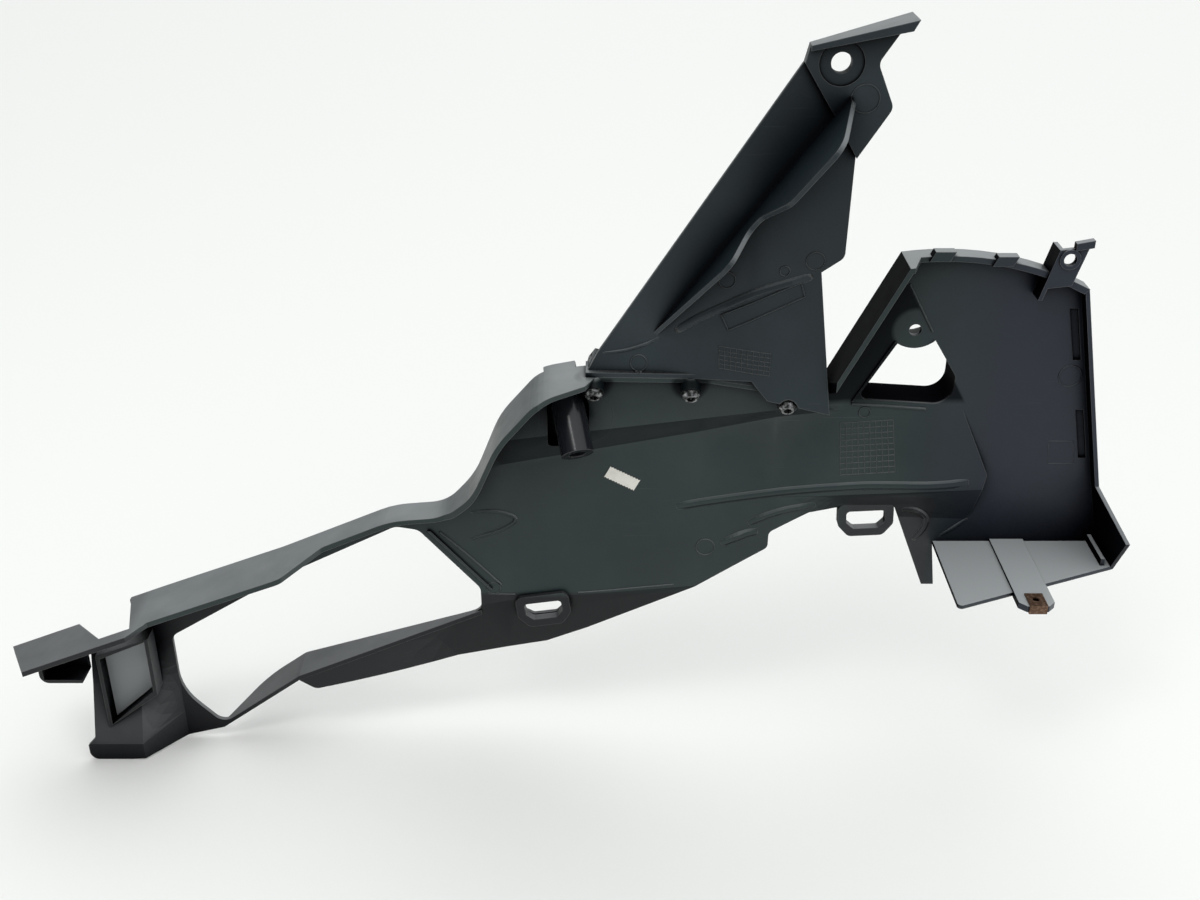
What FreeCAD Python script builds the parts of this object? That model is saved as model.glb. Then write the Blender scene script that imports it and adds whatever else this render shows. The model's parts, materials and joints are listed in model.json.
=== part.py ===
"""Lower fairing panel of a motorbike: a long moulded panel with an arm screwed on its top edge.

Frame: millimetres, +X to the panel's square end, +Z up, -Y towards the ribbed inner side.
The origin is the centre of the small bore in the tab of the triangular window, on the panel's inner face.
"""
import FreeCAD, Part
import math
import os

import Sketcher

SIZES = {
    # Moulded walls.
    "skin": 3.0,
    "flange_wall": 3.0,
    "flange_shift": 2.0,
    "thin_wall": 2.6,
    "corner_round": 6.0,
    "edge_round": 25.0,
    "edge_sweep": 60.0,
    # Top edge of the panel, station by station from the datum towards the pointed end: run, then drop.
    "foot_run": 56.0,
    "foot_drop": 36.0,
    "notch_run": 25.0,
    "notch_drop": 34.0,
    "break_run": 47.0,
    "break_drop": 26.0,
    "ledge_run": 72.0,
    "ledge_drop": 25.0,
    "crown_run": 28.0,
    "crown_fall": 3.0,
    "shoulder_run": 26.0,
    "shoulder_fall": 30.0,
    "throat_run": 17.0,
    "throat_fall": 42.0,
    "neck_run": 19.0,
    "neck_fall": 21.0,
    "brow_run": 35.0,
    "brow_fall": 3.0,
    "nose_run": 75.0,
    "nose_fall": 32.0,
    "dip_run": 57.0,
    "dip_fall": 21.0,
    "saddle_run": 26.0,
    "saddle_fall": 10.0,
    "end_run": 57.0,
    "end_fall": 22.0,
    # Height of the panel below its top edge.
    "foot_height": 91.0,
    "notch_height": 109.0,
    "notch_step": 12.0,
    "notch_round": 5.0,
    "break_height": 160.0,
    "ledge_height": 200.0,
    "crown_height": 210.0,
    "nose_height": 115.0,
    "nose_blunt": 11.0,
    "end_height": 92.0,
    "end_lip_height": 104.0,
    "end_lip_reach": 5.0,
    # Large window.
    "window_brow_bar": 15.0,
    "window_nose_bar": 20.0,
    "window_saddle_bar": 39.0,
    "window_side": 85.0,
    "window_low_reach": 124.0,
    "window_nose_height": 84.0,
    "window_throat_top": 87.0,
    "window_throat_height": 18.0,
    "window_bar": 3.4,
    "window_wall_depth": 28.0,
    "window_round": 9.0,
    "window_end_round": 40.0,
    "window_tip_round": 8.0,
    "window_wall_round": 30.0,
    "window_rib_inset": 6.0,
    "window_rib_wall": 2.0,
    "window_rib_stand": 1.6,
    # Square end plate.
    "plate_corner_left": 13.0,
    "plate_corner_up": 49.0,
    "plate_top_radius": 185.0,
    "plate_right": 98.0,
    "plate_right_up": 30.0,
    "plate_lean": 38.0,
    "plate_low": 150.0,
    "tray_left": 27.0,
    "leg_length": 31.0,
    "leg_width": 8.0,
    "leg_root": 28.0,
    "lower_edge": 123.0,
    "eye_edge": 38.0,
    # Step between the field and the end plate.
    "step_start": 34.0,
    "step_start_drop": 51.0,
    "step_bulge": 21.0,
    "step_bulge_drop": 47.0,
    "step_return": 6.0,
    "step_return_drop": 30.0,
    # Relief of the field.
    "strip_stand": 6.0,
    "crease_stand": 6.0,
    "ramp_stand": 24.0,
    "ramp_start": 8.0,
    "skirt_reach": 120.0,
    "skirt_set_back": 32.0,
    # Depth of the walls towards the inner side.
    "flange_depth": 40.0,
    "dip_depth": 19.0,
    "shoulder_depth": 42.0,
    "crown_end_depth": 27.0,
    "lip_depth": 14.0,
    "beam_depth": 26.0,
    "beam_start": 3.5,
    "plate_lip_depth": 10.0,
    "end_wall_depth": 9.0,
    "gusset_depth": 42.0,
    "gusset_flare": 8.0,
    "gusset_height": 46.0,
    # Triangular window.
    "sight_left": 32.0,
    "sight_low": 46.5,
    "sight_fall": 4.0,
    "sight_right": 28.0,
    "sight_waist": 31.0,
    "sight_tab_left": 10.0,
    "sight_tab_right": 13.0,
    "sight_tab_low": 9.0,
    "sight_tab_rise": 2.0,
    "sight_tab_bow": 19.0,
    "sight_ease": 4.0,
    "sight_round": 12.0,
    "sight_wall_depth": 26.0,
    "tab_bore": 7.4,
    # Tray with its strap.
    "tray_depth_left": 76.0,
    "tray_depth_right": 30.0,
    "tray_wall": 2.6,
    "strap_left": 64.0,
    "strap_width": 22.0,
    "strap_depth": 78.0,
    "strap_rise": 1.6,
    "strap_ease": 4.4,
    "tray_rib": 5.0,
    "tray_rib_inset": 6.0,
    # Spring nut on the strap.
    "nut_width": 11.0,
    "nut_length": 13.0,
    "nut_sheet": 0.9,
    "nut_bore": 4.2,
    "strap_bore": 5.4,
    # Boss below the flange.
    "boss_diameter": 20.5,
    "boss_length": 46.0,
    "boss_bore": 10.5,
    "boss_bore_depth": 30.0,
    "boss_left": 214.0,
    "boss_drop": 36.0,
    "boss_tilt": 47.0,
    "boss_yaw": 17.0,
    "boss_root": 14.0,
    "arch_left": 224.0,
    "arch_right": 198.0,
    "arch_top": 40.0,
    "arch_low": 78.0,
    "arch_round": 9.0,
    "arch_depth": 9.0,
    # Eyes on the lower edge.
    "eye_width": 36.0,
    "eye_height": 24.0,
    "eye_hole_width": 25.0,
    "eye_hole_height": 13.0,
    "eye_stand": 3.0,
    "eye_corner": 0.2,
    "eye_foot": 0.62,
    "eye_side": 0.3,
    "skirt_eye_left": 229.0,
    "skirt_eye_drop": 203.0,
    "skirt_eye_turn": 8.0,
    "edge_eye_left": 19.0,
    "edge_eye_drop": 132.0,
    "edge_eye_turn": 3.0,
    # Bracket and clips on the end plate.
    "bracket_left": 72.0,
    "bracket_width": 14.0,
    "bracket_low": 31.0,
    "bracket_height": 24.0,
    "bracket_lean": 6.5,
    "bracket_spread": 0.5,
    "bracket_rise": 2.0,
    "bracket_cheek": 31.0,
    "bracket_stand": 12.0,
    "bracket_bore": 7.5,
    "bracket_bore_up": 18.5,
    "bracket_bore_right": 10.4,
    "bracket_ring": 12.4,
    "bracket_ring_stand": 1.0,
    "bracket_bar": 8.5,
    "bracket_bar_height": 4.5,
    "bracket_bar_stand": 1.6,
    "clip_width": 12.0,
    "clip_height": 6.0,
    "clip_slant": 3.0,
    "clip_stand": 2.0,
    "clip_first": 4.0,
    "clip_first_top": 54.0,
    "clip_pitch": 37.0,
    "clip_fall": 3.0,
    "slot_length": 34.0,
    "slot_width": 5.0,
    "slot_inset": 5.0,
    "slot_depth": 1.8,
    "slot_first": 14.0,
    "slot_pitch": 68.0,
    # Tab at the pointed end.
    "end_tab_reach": 48.0,
    "end_tab_depth": 40.0,
    "end_tab_front": 10.0,
    "end_tab_skew": 22.0,
    "end_gap": 24.0,
    # Pocket and block at the pointed end.
    "pocket_left": 527.0,
    "pocket_width": 32.0,
    "pocket_top": 231.0,
    "pocket_height": 55.0,
    "pocket_slant": 14.0,
    "pocket_floor": 10.0,
    "pocket_rim": 20.0,
    "block_width": 28.0,
    "block_height": 22.0,
    "block_front": 30.0,
    "block_back": 12.0,
    # Arm screwed on the ledge.
    "arm_stand": 8.0,
    "arm_wall": 3.0,
    "arm_heel_run": 7.0,
    "arm_heel_height": 13.0,
    "arm_length": 208.0,
    "arm_rake": 56.9,
    "arm_hip_rise": 9.0,
    "arm_hip_in": 13.0,
    "apron_slope": 10.2,
    "apron_edge_drop": 86.0,
    "apron_edge_out": 9.0,
    "hem_run": 4.0,
    "hem_drop": 10.0,
    "apron_hook": 38.0,
    "apron_hook_rise": 8.0,
    "apron_hook_run": 10.0,
    "fold_knee": 40.0,
    "fold_knee_rise": 10.0,
    "foot_shelf": 3.0,
    "foot_shelf_back": 3.0,
    "lip_clearance": 0.6,
    # Head of the arm.
    "head_left": 20.0,
    "head_crest": 2.5,
    "head_top": 10.0,
    "head_point": 37.0,
    "head_point_up": 26.0,
    "head_nick": 20.0,
    "head_jaw": 10.5,
    "head_jaw_drop": 24.5,
    "head_chin": 18.0,
    "head_low": 53.0,
    "head_chin_back": 13.0,
    "head_chin_rise": 22.0,
    "head_flange_wall": 3.0,
    "head_flange_depth": 16.0,
    "head_flange_start": 3.0,
    "head_stand": 4.0,
    "head_bore": 11.6,
    "head_ring": 25.0,
    "head_ring_depth": 1.4,
    # Wavy rib of the arm: distances along its root, then its depths there.
    "rib_wall": 2.8,
    "rib_start": 36.0,
    "rib_foot_rise": 12.0,
    "rib_rake": 53.3,
    "rib_bulge": 68.0,
    "rib_bulge_depth": 31.0,
    "rib_waist": 92.0,
    "rib_waist_depth": 11.0,
    "rib_peak": 118.0,
    "rib_peak_depth": 44.0,
    "rib_tip": 160.0,
    "rib_tip_depth": 51.0,
    "rib_length": 177.0,
    "rib_end_depth": 11.0,
    "rib_round": 12.0,
    # Screws.
    "screw_first": 195.0,
    "screw_pitch": 59.0,
    "screw_tilt": 32.0,
    "screw_entry": 3.0,
    "screw_reach": 17.0,
    "screw_length": 27.0,
    "screw_diameter": 5.0,
    "screw_clearance": 0.3,
    "screw_head": 11.0,
    "screw_head_height": 3.6,
    "screw_socket": 5.0,
    "screw_socket_depth": 2.2,
    "pad_diameter": 12.5,
    "pad_clearance": 1.5,
    "pad_room_start": 12.0,
    "arm_boss_diameter": 10.0,
    "arm_boss_length": 12.5,
    # Adhesive patch.
    "patch_length": 21.5,
    "patch_width": 9.0,
    "patch_thickness": 0.3,
    "patch_left": 177.0,
    "patch_drop": 103.0,
    "patch_turn": 28.0,
}

# Relief of the skin at each station, from the top down: drop of the strip's lower edge below the datum,
# then the heights of the bead below it, of the field down to the crease and of the face down to the bend.
RELIEF = {
    "tail": (46.0, 6.0, 54.0, 29.0),
    "eye": (48.0, 6.0, 58.0, 18.0),
    "notch": (51.0, 8.0, 56.0, 37.0),
    "break": (57.0, 12.0, 53.0, 63.0),
    "shoulder": (73.0, 20.0, 42.0, 62.0),
    "neck": (90.0, 20.0, 42.0, 53.0),
    "nose": (150.0, 20.0, 42.0, 50.0),
    "saddle": (215.0, 10.0, 25.0, 40.0),
    "ramp": (224.0, 10.0, 26.0, 40.0),
}
for station, drops in RELIEF.items():
    for part_name, drop in zip(("strip", "bead", "field", "face"), drops):
        SIZES[f"{station}_{part_name}"] = drop

doc = FreeCAD.newDocument("lower_fairing_panel")
sheet = doc.addObject("Spreadsheet::Sheet", "Sizes")
for row, (alias, value) in enumerate(SIZES.items(), start=1):
    sheet.set(f"A{row}", alias)
    sheet.set(f"B{row}", str(value))
    sheet.setAlias(f"B{row}", alias)
doc.recompute()


class Length:
    """A length in mm with the formula that ties it to the sheet."""

    def __init__(self, value, formula):
        self.value = value
        self.formula = formula

    def __add__(self, other):
        return Length(self.value + other.value, f"({self.formula} + {other.formula})")

    def __sub__(self, other):
        return Length(self.value - other.value, f"({self.formula} - {other.formula})")

    def __neg__(self):
        return Length(-self.value, f"(-{self.formula})")

    def __mul__(self, factor):
        return Length(self.value * factor.value, f"({self.formula} * {factor.formula})")

    def __truediv__(self, factor):
        return Length(self.value / factor.value, f"({self.formula} / {factor.formula})")


def size(name):
    return Length(SIZES[name], f"Sizes.{name}")


def number(value):
    return Length(value, f"({value})")


def cosine(angle):
    return Length(math.cos(math.radians(angle.value)), f"cos({angle.formula})")


def sine(angle):
    return Length(math.sin(math.radians(angle.value)), f"sin({angle.formula})")


ZERO = number(0)
HALF = number(0.5)
X_AXIS = FreeCAD.Vector(1, 0, 0)
Y_AXIS = FreeCAD.Vector(0, 1, 0)
Z_AXIS = FreeCAD.Vector(0, 0, 1)
PLANES = {
    "XY": (FreeCAD.Rotation(), "z", Z_AXIS),
    "XZ": (FreeCAD.Rotation(X_AXIS, 90), "y", Y_AXIS),
    "YZ": (FreeCAD.Rotation(FreeCAD.Vector(1, 1, 1), 120), "x", X_AXIS),
}


def bind(thing, name, length):
    thing.setExpression(name, length.formula)


def hold(sketch, kind, *place_and_length):
    """A dimension of a sketch that follows the sheet."""
    *place, length = place_and_length
    index = sketch.addConstraint(Sketcher.Constraint(kind, *place, length.value))
    bind(sketch, f"Constraints[{index}]", length)


def outline(sketch, corners, arcs=None):
    """A closed outline through corners (u, v) or rounded corners (u, v, radius).

    Corners run clockwise. arcs gives the radius of an edge that bows outwards, or minus that of one that
    bows inwards, by the number of the corner that it leaves.
    """
    arcs = arcs or {}
    count = len(corners)
    points = [FreeCAD.Vector(corner[0].value, corner[1].value, 0) for corner in corners]
    starts = list(points)
    ends = [points[(i + 1) % count] for i in range(count)]
    centres = {}
    for i, corner in enumerate(corners):
        if len(corner) == 3:
            before = (points[i - 1] - points[i]).normalize()
            after = (points[(i + 1) % count] - points[i]).normalize()
            half_angle = before.getAngle(after) / 2
            reach = corner[2].value / math.tan(half_angle)
            ends[i - 1] = points[i] + before * reach
            starts[i] = points[i] + after * reach
            centres[i] = points[i] + (before + after).normalize() * (corner[2].value / math.sin(half_angle))
    first, last = [], []
    for i in range(count):
        if i in arcs:
            chord = ends[i] - starts[i]
            sink = math.sqrt(arcs[i].value ** 2 - (chord.Length / 2) ** 2)
            inward = FreeCAD.Vector(chord.y, -chord.x, 0).normalize()
            outwards = arcs[i].value > 0
            centre = (starts[i] + ends[i]) / 2 + inward * (sink if outwards else -sink)
            tips = (ends[i], starts[i]) if outwards else (starts[i], ends[i])
            edge = add_arc(sketch, centre, abs(arcs[i].value), *tips)
            first.append((edge, 2 if outwards else 1))
            last.append((edge, 1 if outwards else 2))
        else:
            edge = sketch.addGeometry(Part.LineSegment(starts[i], ends[i]), False)
            first.append((edge, 1))
            last.append((edge, 2))
    for i, corner in enumerate(corners):
        if i in centres:
            left_turn = (points[i] - points[i - 1]).cross(points[(i + 1) % count] - points[i]).z > 0
            tips = (ends[i - 1], starts[i]) if left_turn else (starts[i], ends[i - 1])
            bow = add_arc(sketch, centres[i], corner[2].value, *tips)
            near, far = (1, 2) if left_turn else (2, 1)
            sketch.addConstraint(Sketcher.Constraint("Tangent", *last[i - 1], bow, near))
            sketch.addConstraint(Sketcher.Constraint("Tangent", bow, far, *first[i]))
            hold(sketch, "Radius", bow, corner[2])
            mark = sketch.addGeometry(Part.Point(points[i]), True)
            sketch.addConstraint(Sketcher.Constraint("PointOnObject", mark, 1, last[i - 1][0]))
            sketch.addConstraint(Sketcher.Constraint("PointOnObject", mark, 1, first[i][0]))
            place = (mark, 1)
        else:
            sketch.addConstraint(Sketcher.Constraint("Coincident", *last[i - 1], *first[i]))
            place = first[i]
        hold(sketch, "DistanceX", -1, 1, *place, corner[0])
        hold(sketch, "DistanceY", -1, 1, *place, corner[1])
        if i in arcs:
            hold(sketch, "Radius", first[i][0], arcs[i] if arcs[i].value > 0 else -arcs[i])


def add_arc(sketch, centre, radius, start, end):
    """An arc that runs anticlockwise from start to end."""
    circle = Part.Circle(centre, Z_AXIS, radius)
    angles = [math.atan2(tip.y - centre.y, tip.x - centre.x) for tip in (start, end)]
    return sketch.addGeometry(Part.ArcOfCircle(circle, *angles), False)


def drawing(name, plane, corners, at=ZERO, arcs=None):
    """A sketch parallel to one of the planes of the frame."""
    sketch = doc.addObject("Sketcher::SketchObject", name)
    turn, axis, _ = PLANES[plane]
    sketch.Placement = FreeCAD.Placement(FreeCAD.Vector(), turn)
    bind(sketch, f"Placement.Base.{axis}", at)
    outline(sketch, corners, arcs)
    return sketch


def prism(name, plane, corners, low, high, arcs=None):
    """An outline carried from low to high along the axis across its plane."""
    base = drawing(f"{name}_outline", plane, corners, low, arcs)
    solid = doc.addObject("Part::Extrusion", name)
    solid.Base = base
    solid.DirMode = "Custom"
    solid.Dir = PLANES[plane][2]
    solid.Solid = True
    bind(solid, "LengthFwd", high - low)
    return solid


def loft(name, sections):
    solid = doc.addObject("Part::Loft", name)
    solid.Sections = sections
    solid.Solid = True
    solid.Ruled = True
    return solid


def cylinder(name, diameter, length, base, turn=None):
    """A round bar from base along +Z, or along the direction that turn = (axis, angle) gives."""
    solid = doc.addObject("Part::Cylinder", name)
    bind(solid, "Radius", diameter * HALF)
    bind(solid, "Height", length)
    return placed(solid, base, turn)


def placed(solid, base, turn=None):
    """A solid set down at base, turned by turn = (axis, angle)."""
    if turn:
        solid.Placement = FreeCAD.Placement(FreeCAD.Vector(), FreeCAD.Rotation(turn[0], turn[1].value))
        bind(solid, "Placement.Rotation.Angle", turn[1])
    for axis, place in zip("xyz", base):
        bind(solid, f"Placement.Base.{axis}", place)
    return solid


def fuse(name, solids):
    whole = doc.addObject("Part::MultiFuse", name)
    whole.Shapes = solids
    whole.Refine = True
    return whole


def common(name, solids):
    part = doc.addObject("Part::MultiCommon", name)
    part.Shapes = solids
    return part


def cut(name, base, tool):
    rest = doc.addObject("Part::Cut", name)
    rest.Base = base
    rest.Tool = tool
    return rest


def moved(corners, across, upwards):
    return [(corner[0] + across, corner[1] + upwards, *corner[2:]) for corner in corners]


# Stations along the top edge, from the datum towards the pointed end.
foot_x = -size("foot_run")
notch_x = foot_x - size("notch_run")
break_x = notch_x - size("break_run")
ledge_x = break_x - size("ledge_run")
crown_x = ledge_x - size("crown_run")
shoulder_x = crown_x - size("shoulder_run")
throat_x = shoulder_x - size("throat_run")
neck_x = throat_x - size("neck_run")
brow_x = neck_x - size("brow_run")
nose_x = brow_x - size("nose_run")
dip_x = nose_x - size("dip_run")
saddle_x = dip_x - size("saddle_run")
end_x = saddle_x - size("end_run")
foot_top = -size("foot_drop")
notch_top = -size("notch_drop")
break_top = -size("break_drop")
ledge_top = -size("ledge_drop")
crown_top = ledge_top - size("crown_fall")
shoulder_top = crown_top - size("shoulder_fall")
throat_top = shoulder_top - size("throat_fall")
neck_top = throat_top - size("neck_fall")
brow_top = neck_top - size("brow_fall")
nose_top = brow_top - size("nose_fall")
dip_top = nose_top - size("dip_fall")
saddle_top = dip_top - size("saddle_fall")
end_top = saddle_top - size("end_fall")
plate_left = -size("plate_corner_left")
plate_top = size("plate_corner_up")
plate_right = size("plate_right")
plate_right_top = size("plate_right_up")
plate_low = -size("plate_low")
tray_low = plate_low - size("tray_wall")
plate_low_right = plate_right + size("plate_lean")
skin = size("skin")
soft = size("corner_round")
far = size("skirt_reach")
slope = size("end_fall") / size("end_run")


def top_edge():
    """The panel's top edge from the pointed end to the corner of the end plate."""
    bend = size("edge_round")
    sweep = size("edge_sweep")
    return [
        (saddle_x, saddle_top),
        (nose_x, nose_top),
        (brow_x, brow_top, sweep),
        (neck_x, neck_top, bend),
        (throat_x, throat_top, sweep),
        (shoulder_x, shoulder_top, sweep),
        (crown_x, crown_top, bend),
        (ledge_x, ledge_top),
        (break_x, break_top),
        (notch_x, notch_top),
        (foot_x, foot_top),
        (plate_left, plate_top),
    ]


def main_outline():
    """The whole panel as its mould parts it, anticlockwise seen from the back."""
    window_low = nose_top - size("window_nose_bar") - size("window_nose_height") - size("window_bar")
    lip_low = end_top - size("end_lip_height")
    lip_x = end_x - size("end_lip_reach")
    flange_end = saddle_x - size("end_gap")
    lower_edge = -size("lower_edge")
    leg_x = size("tray_left") + size("leg_width") * HALF
    leg_low = tray_low - size("leg_length")
    return top_edge() + [
        (plate_right, plate_right_top),
        (plate_low_right, tray_low),
        (size("tray_left"), tray_low),
        (leg_x, leg_low),
        (leg_x - size("leg_width"), leg_low),
        (size("tray_left") - size("leg_root"), lower_edge),
        (-size("eye_edge"), lower_edge),
        (foot_x, foot_top - size("foot_height")),
        (notch_x, notch_top - size("notch_height"), size("notch_round")),
        (notch_x, notch_top - size("notch_height") - size("notch_step"), size("notch_round")),
        (break_x, break_top - size("break_height")),
        (ledge_x, ledge_top - size("ledge_height")),
        (crown_x, crown_top - size("crown_height")),
        (nose_x + size("nose_blunt"), nose_top - size("nose_height"), soft),
        (nose_x, window_low),
        (dip_x, dip_top - size("window_low_reach") - size("window_bar")),
        (saddle_x, saddle_top - size("window_low_reach")),
        (end_x + size("end_gap"), lip_low, soft),
        (lip_x, lip_low, soft),
        (lip_x, end_top - size("end_height")),
        (end_x, end_top - size("end_height") + size("end_lip_reach")),
        (end_x, end_top - size("end_gap")),
        (flange_end, end_top - size("end_gap") * HALF),
        (flange_end, saddle_top - size("end_gap") * slope),
    ]


def skin_section(name, station, x, stands, depth):
    """One cross-section of the moulded skin: strip, bead, field, face below the crease and skirt."""
    strip, crease, bend, skirt = stands
    strip_low = -size(f"{station}_strip")
    bead_low = strip_low - size(f"{station}_bead")
    field_low = bead_low - size(f"{station}_field")
    face_low = field_low - size(f"{station}_face")
    front = [
        (-strip, plate_top + far),
        (-strip, strip_low),
        (ZERO, bead_low),
        (-crease, field_low),
        (-bend, face_low),
        (-skirt, face_low - far),
    ]
    back = [(y + depth, z) for y, z in reversed(front)]
    return drawing(name, "YZ", front + back, x)


def skin_loft(name, depth):
    """The skin of the panel from the pointed end to past the step at the end plate."""
    strip = size("strip_stand")
    crease = size("crease_stand")
    ramp = size("ramp_stand")
    rise = size("ramp_start")
    skirt = -size("skirt_set_back")
    sections = [
        ("tail", plate_right, (ZERO, crease, ZERO, ZERO)),
        ("eye", -size("eye_edge"), (ZERO, crease, ZERO, ZERO)),
        ("notch", notch_x, (strip, crease * HALF, ZERO, ZERO)),
        ("break", break_x, (strip, ZERO, ZERO, skirt)),
        ("shoulder", shoulder_x, (strip, ZERO, ZERO, skirt)),
        ("neck", neck_x, (ZERO, ZERO, ZERO, skirt)),
        ("nose", nose_x, (ZERO, ZERO, ZERO, ZERO)),
        ("saddle", saddle_x, (ZERO, ZERO, ZERO, ZERO)),
        ("ramp", saddle_x - size("end_gap"), (ZERO, rise, ramp, ramp)),
        ("ramp", end_x - far, (ZERO, rise, ramp, ramp)),
    ]
    drawn = []
    for i, (station, x, stands) in enumerate(sections):
        drawn.append(skin_section(f"{name}_section_{i}", station, x, stands, depth))
    return loft(name, drawn)


def step_line():
    """The step where the field stands in front of the end plate, from its start down to the tray."""
    start = size("step_start")
    start_low = -size("step_start_drop")
    bulge = start + size("step_bulge")
    bulge_low = start_low - size("step_bulge_drop")
    back = bulge - size("step_return")
    back_low = bulge_low - size("step_return_drop")
    return [
        (start, start_low),
        (bulge, bulge_low, soft),
        (back, back_low, soft),
        (size("tray_left") + size("leg_width"), plate_low),
    ]


def panel_faces(whole):
    """The skin of the field, the flat end plate and the riser that joins them at the step."""
    line = step_line()
    zone = line + [
        (size("tray_left") + size("leg_width"), plate_low - far),
        (plate_low_right + far, plate_low - far),
        (plate_low_right + far, plate_top + far),
        (size("step_start"), plate_top + far),
    ]
    plate_zone = prism("plate_zone", "XZ", zone, -far, far)
    plate_slab = prism("plate_slab", "XZ", zone, ZERO, skin)
    field = cut("field", common("trimmed_skin", [skin_loft("skin_shape", skin), whole]), plate_zone)
    plate = common("end_plate", [plate_slab, whole])
    ridge = [line[0], line[1], line[2][:2]]
    band = ridge + list(reversed(moved(ridge, -skin, ZERO)))
    riser_band = prism("riser_band", "XZ", band, -size("crease_stand") - skin, skin)
    deep_skin = skin_loft("deep_skin", skin + size("crease_stand"))
    riser = common("step_riser", [riser_band, deep_skin, whole])
    return [field, plate, riser]


def top_walls():
    """The flange, lip and beam wall along the top edge, as deep as their plan says."""
    wall = size("flange_wall")
    tab_x = end_x - size("end_tab_reach")
    tab_top = end_top - size("end_tab_reach") * slope
    edge = [(tab_x, tab_top)] + top_edge() + [(plate_right, plate_right_top)]
    inner = list(reversed(moved(edge[:-1], size("flange_shift"), -wall)))
    inner = [(plate_right - wall, plate_right_top - wall)] + inner
    bows = {12: size("plate_top_radius"), 14: wall - size("plate_top_radius")}
    band = prism("wall_band", "XZ", edge + inner, -far, skin, bows)
    flange = -size("flange_depth")
    dip = -size("dip_depth")
    crown = -size("shoulder_depth")
    lip = -size("lip_depth")
    beam = -size("beam_depth")
    plate_lip = -size("plate_lip_depth")
    tab_rim = flange - size("end_tab_front")
    tab_root = tab_rim + size("end_tab_depth")
    skew = size("end_tab_skew")
    gap = size("end_gap")
    plan = [
        (plate_right + far, skin),
        (saddle_x - gap, skin),
        (saddle_x - gap * HALF, flange),
        (end_x + gap, flange),
        (end_x, tab_root),
        (tab_x, tab_root),
        (tab_x + skew, tab_rim),
        (saddle_x - gap * HALF, tab_rim),
        (saddle_x, flange),
        (nose_x + soft, flange, soft),
        (nose_x + soft + gap, dip, soft),
        (neck_x, dip, soft),
        (shoulder_x, crown, soft),
        (crown_x, crown),
        (ledge_x, -size("crown_end_depth")),
        (ledge_x + soft, lip),
        (foot_x + size("beam_start"), lip),
        (foot_x + size("beam_start") + wall, beam),
        (plate_left + wall, beam),
        (plate_left + wall + soft, plate_lip),
        (plate_right + far, plate_lip),
    ]
    keep = prism("wall_plan", "XY", plan, -far - far - far, plate_top + far)
    return [common("top_wall", [band, keep])]


def end_wall():
    """The wall down the square end, which deepens and flares at its foot."""
    wall = size("thin_wall")
    depth = size("end_wall_depth")
    height = plate_right_top - tray_low

    def rib_section(name, z, deep, flare):
        root = plate_right + size("plate_lean") * (plate_right_top - z) / height
        corners = [
            (root - wall, skin),
            (root, skin),
            (root + flare, -deep),
            (root + flare - wall, -deep),
        ]
        return drawing(name, "XY", corners, z)

    gusset_top = plate_low + size("gusset_height")
    gusset_peak = plate_low + size("gusset_height") * HALF
    sections = [
        rib_section("end_wall_top", plate_right_top, depth, ZERO),
        rib_section("end_wall_waist", gusset_top, depth, ZERO),
        rib_section("end_wall_gusset", gusset_peak, size("gusset_depth"), size("gusset_flare")),
        rib_section("end_wall_foot", tray_low, size("tray_depth_right"), ZERO),
    ]
    return [loft("end_wall", sections)]


def tray():
    """The shelf along the foot of the end plate with the strap that carries the spring nut."""
    left = size("tray_left")
    floor = [
        (left, skin),
        (plate_low_right, skin),
        (plate_low_right, -size("tray_depth_right")),
        (left, -size("tray_depth_left"), size("tray_wall")),
    ]
    shelf = prism("tray_floor", "XY", floor, tray_low, plate_low)
    strap_left = size("strap_left")
    strap_right = strap_left + size("strap_width")
    front = -size("strap_depth")
    ease = size("strap_ease")
    band = [
        (strap_left, ZERO),
        (strap_right, ZERO),
        (strap_right, front + ease),
        (strap_right - ease, front),
        (strap_left + ease, front),
        (strap_left, front + ease),
    ]
    strap = prism("strap", "XY", band, tray_low, plate_low + size("strap_rise"))
    rib_right = plate_low_right - size("tray_rib_inset")
    rib_left = rib_right - size("thin_wall")
    rib_front = -size("tray_depth_right")
    rib = [
        (rib_left, ZERO),
        (rib_right, ZERO),
        (rib_right, rib_front),
        (rib_left, rib_front),
    ]
    return [shelf, strap, prism("tray_rib", "XY", rib, tray_low, plate_low + size("tray_rib"))]


def sight_corners(grow):
    """The triangular window, grown on all sides."""
    ease = size("sight_ease")
    right = size("sight_right") + grow
    low = -size("sight_low") - grow
    return [
        (-size("sight_left") - grow - grow, low, ease),
        (-size("sight_tab_left") - grow, -size("sight_tab_low") + grow),
        (size("sight_tab_right") + grow, -size("sight_tab_low") + size("sight_tab_rise") + grow),
        (right, -size("sight_waist"), ease),
        (right, low - size("sight_fall"), size("sight_round") + grow),
    ]


def sight_hole(name, grow, low, high):
    """The window's outline carried from low to high, with the tab's edge bowed down round its bore."""
    return prism(name, "XZ", sight_corners(grow), low, high, {1: -size("sight_tab_bow") - grow})


def sight_walls():
    return [sight_hole("sight_rim", size("thin_wall"), ZERO, size("sight_wall_depth"))]


def window_corners():
    throat_high = throat_top - size("window_throat_top")
    throat_low = throat_high - size("window_throat_height")
    nose_high = nose_top - size("window_nose_bar")
    ease = size("window_round")
    brow_high = brow_top - size("window_brow_bar")
    return [
        (throat_x, throat_low, size("window_tip_round")),
        (nose_x, nose_high - size("window_nose_height")),
        (dip_x, dip_top - size("window_low_reach"), ease),
        (saddle_x, saddle_top - size("window_side"), size("window_end_round")),
        (saddle_x, saddle_top - size("window_saddle_bar"), size("window_tip_round")),
        (nose_x, nose_high),
        (brow_x, brow_high, ease),
        (brow_x + size("window_brow_bar"), brow_high - size("thin_wall"), ease),
        (throat_x, throat_high, size("window_tip_round")),
    ]


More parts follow.
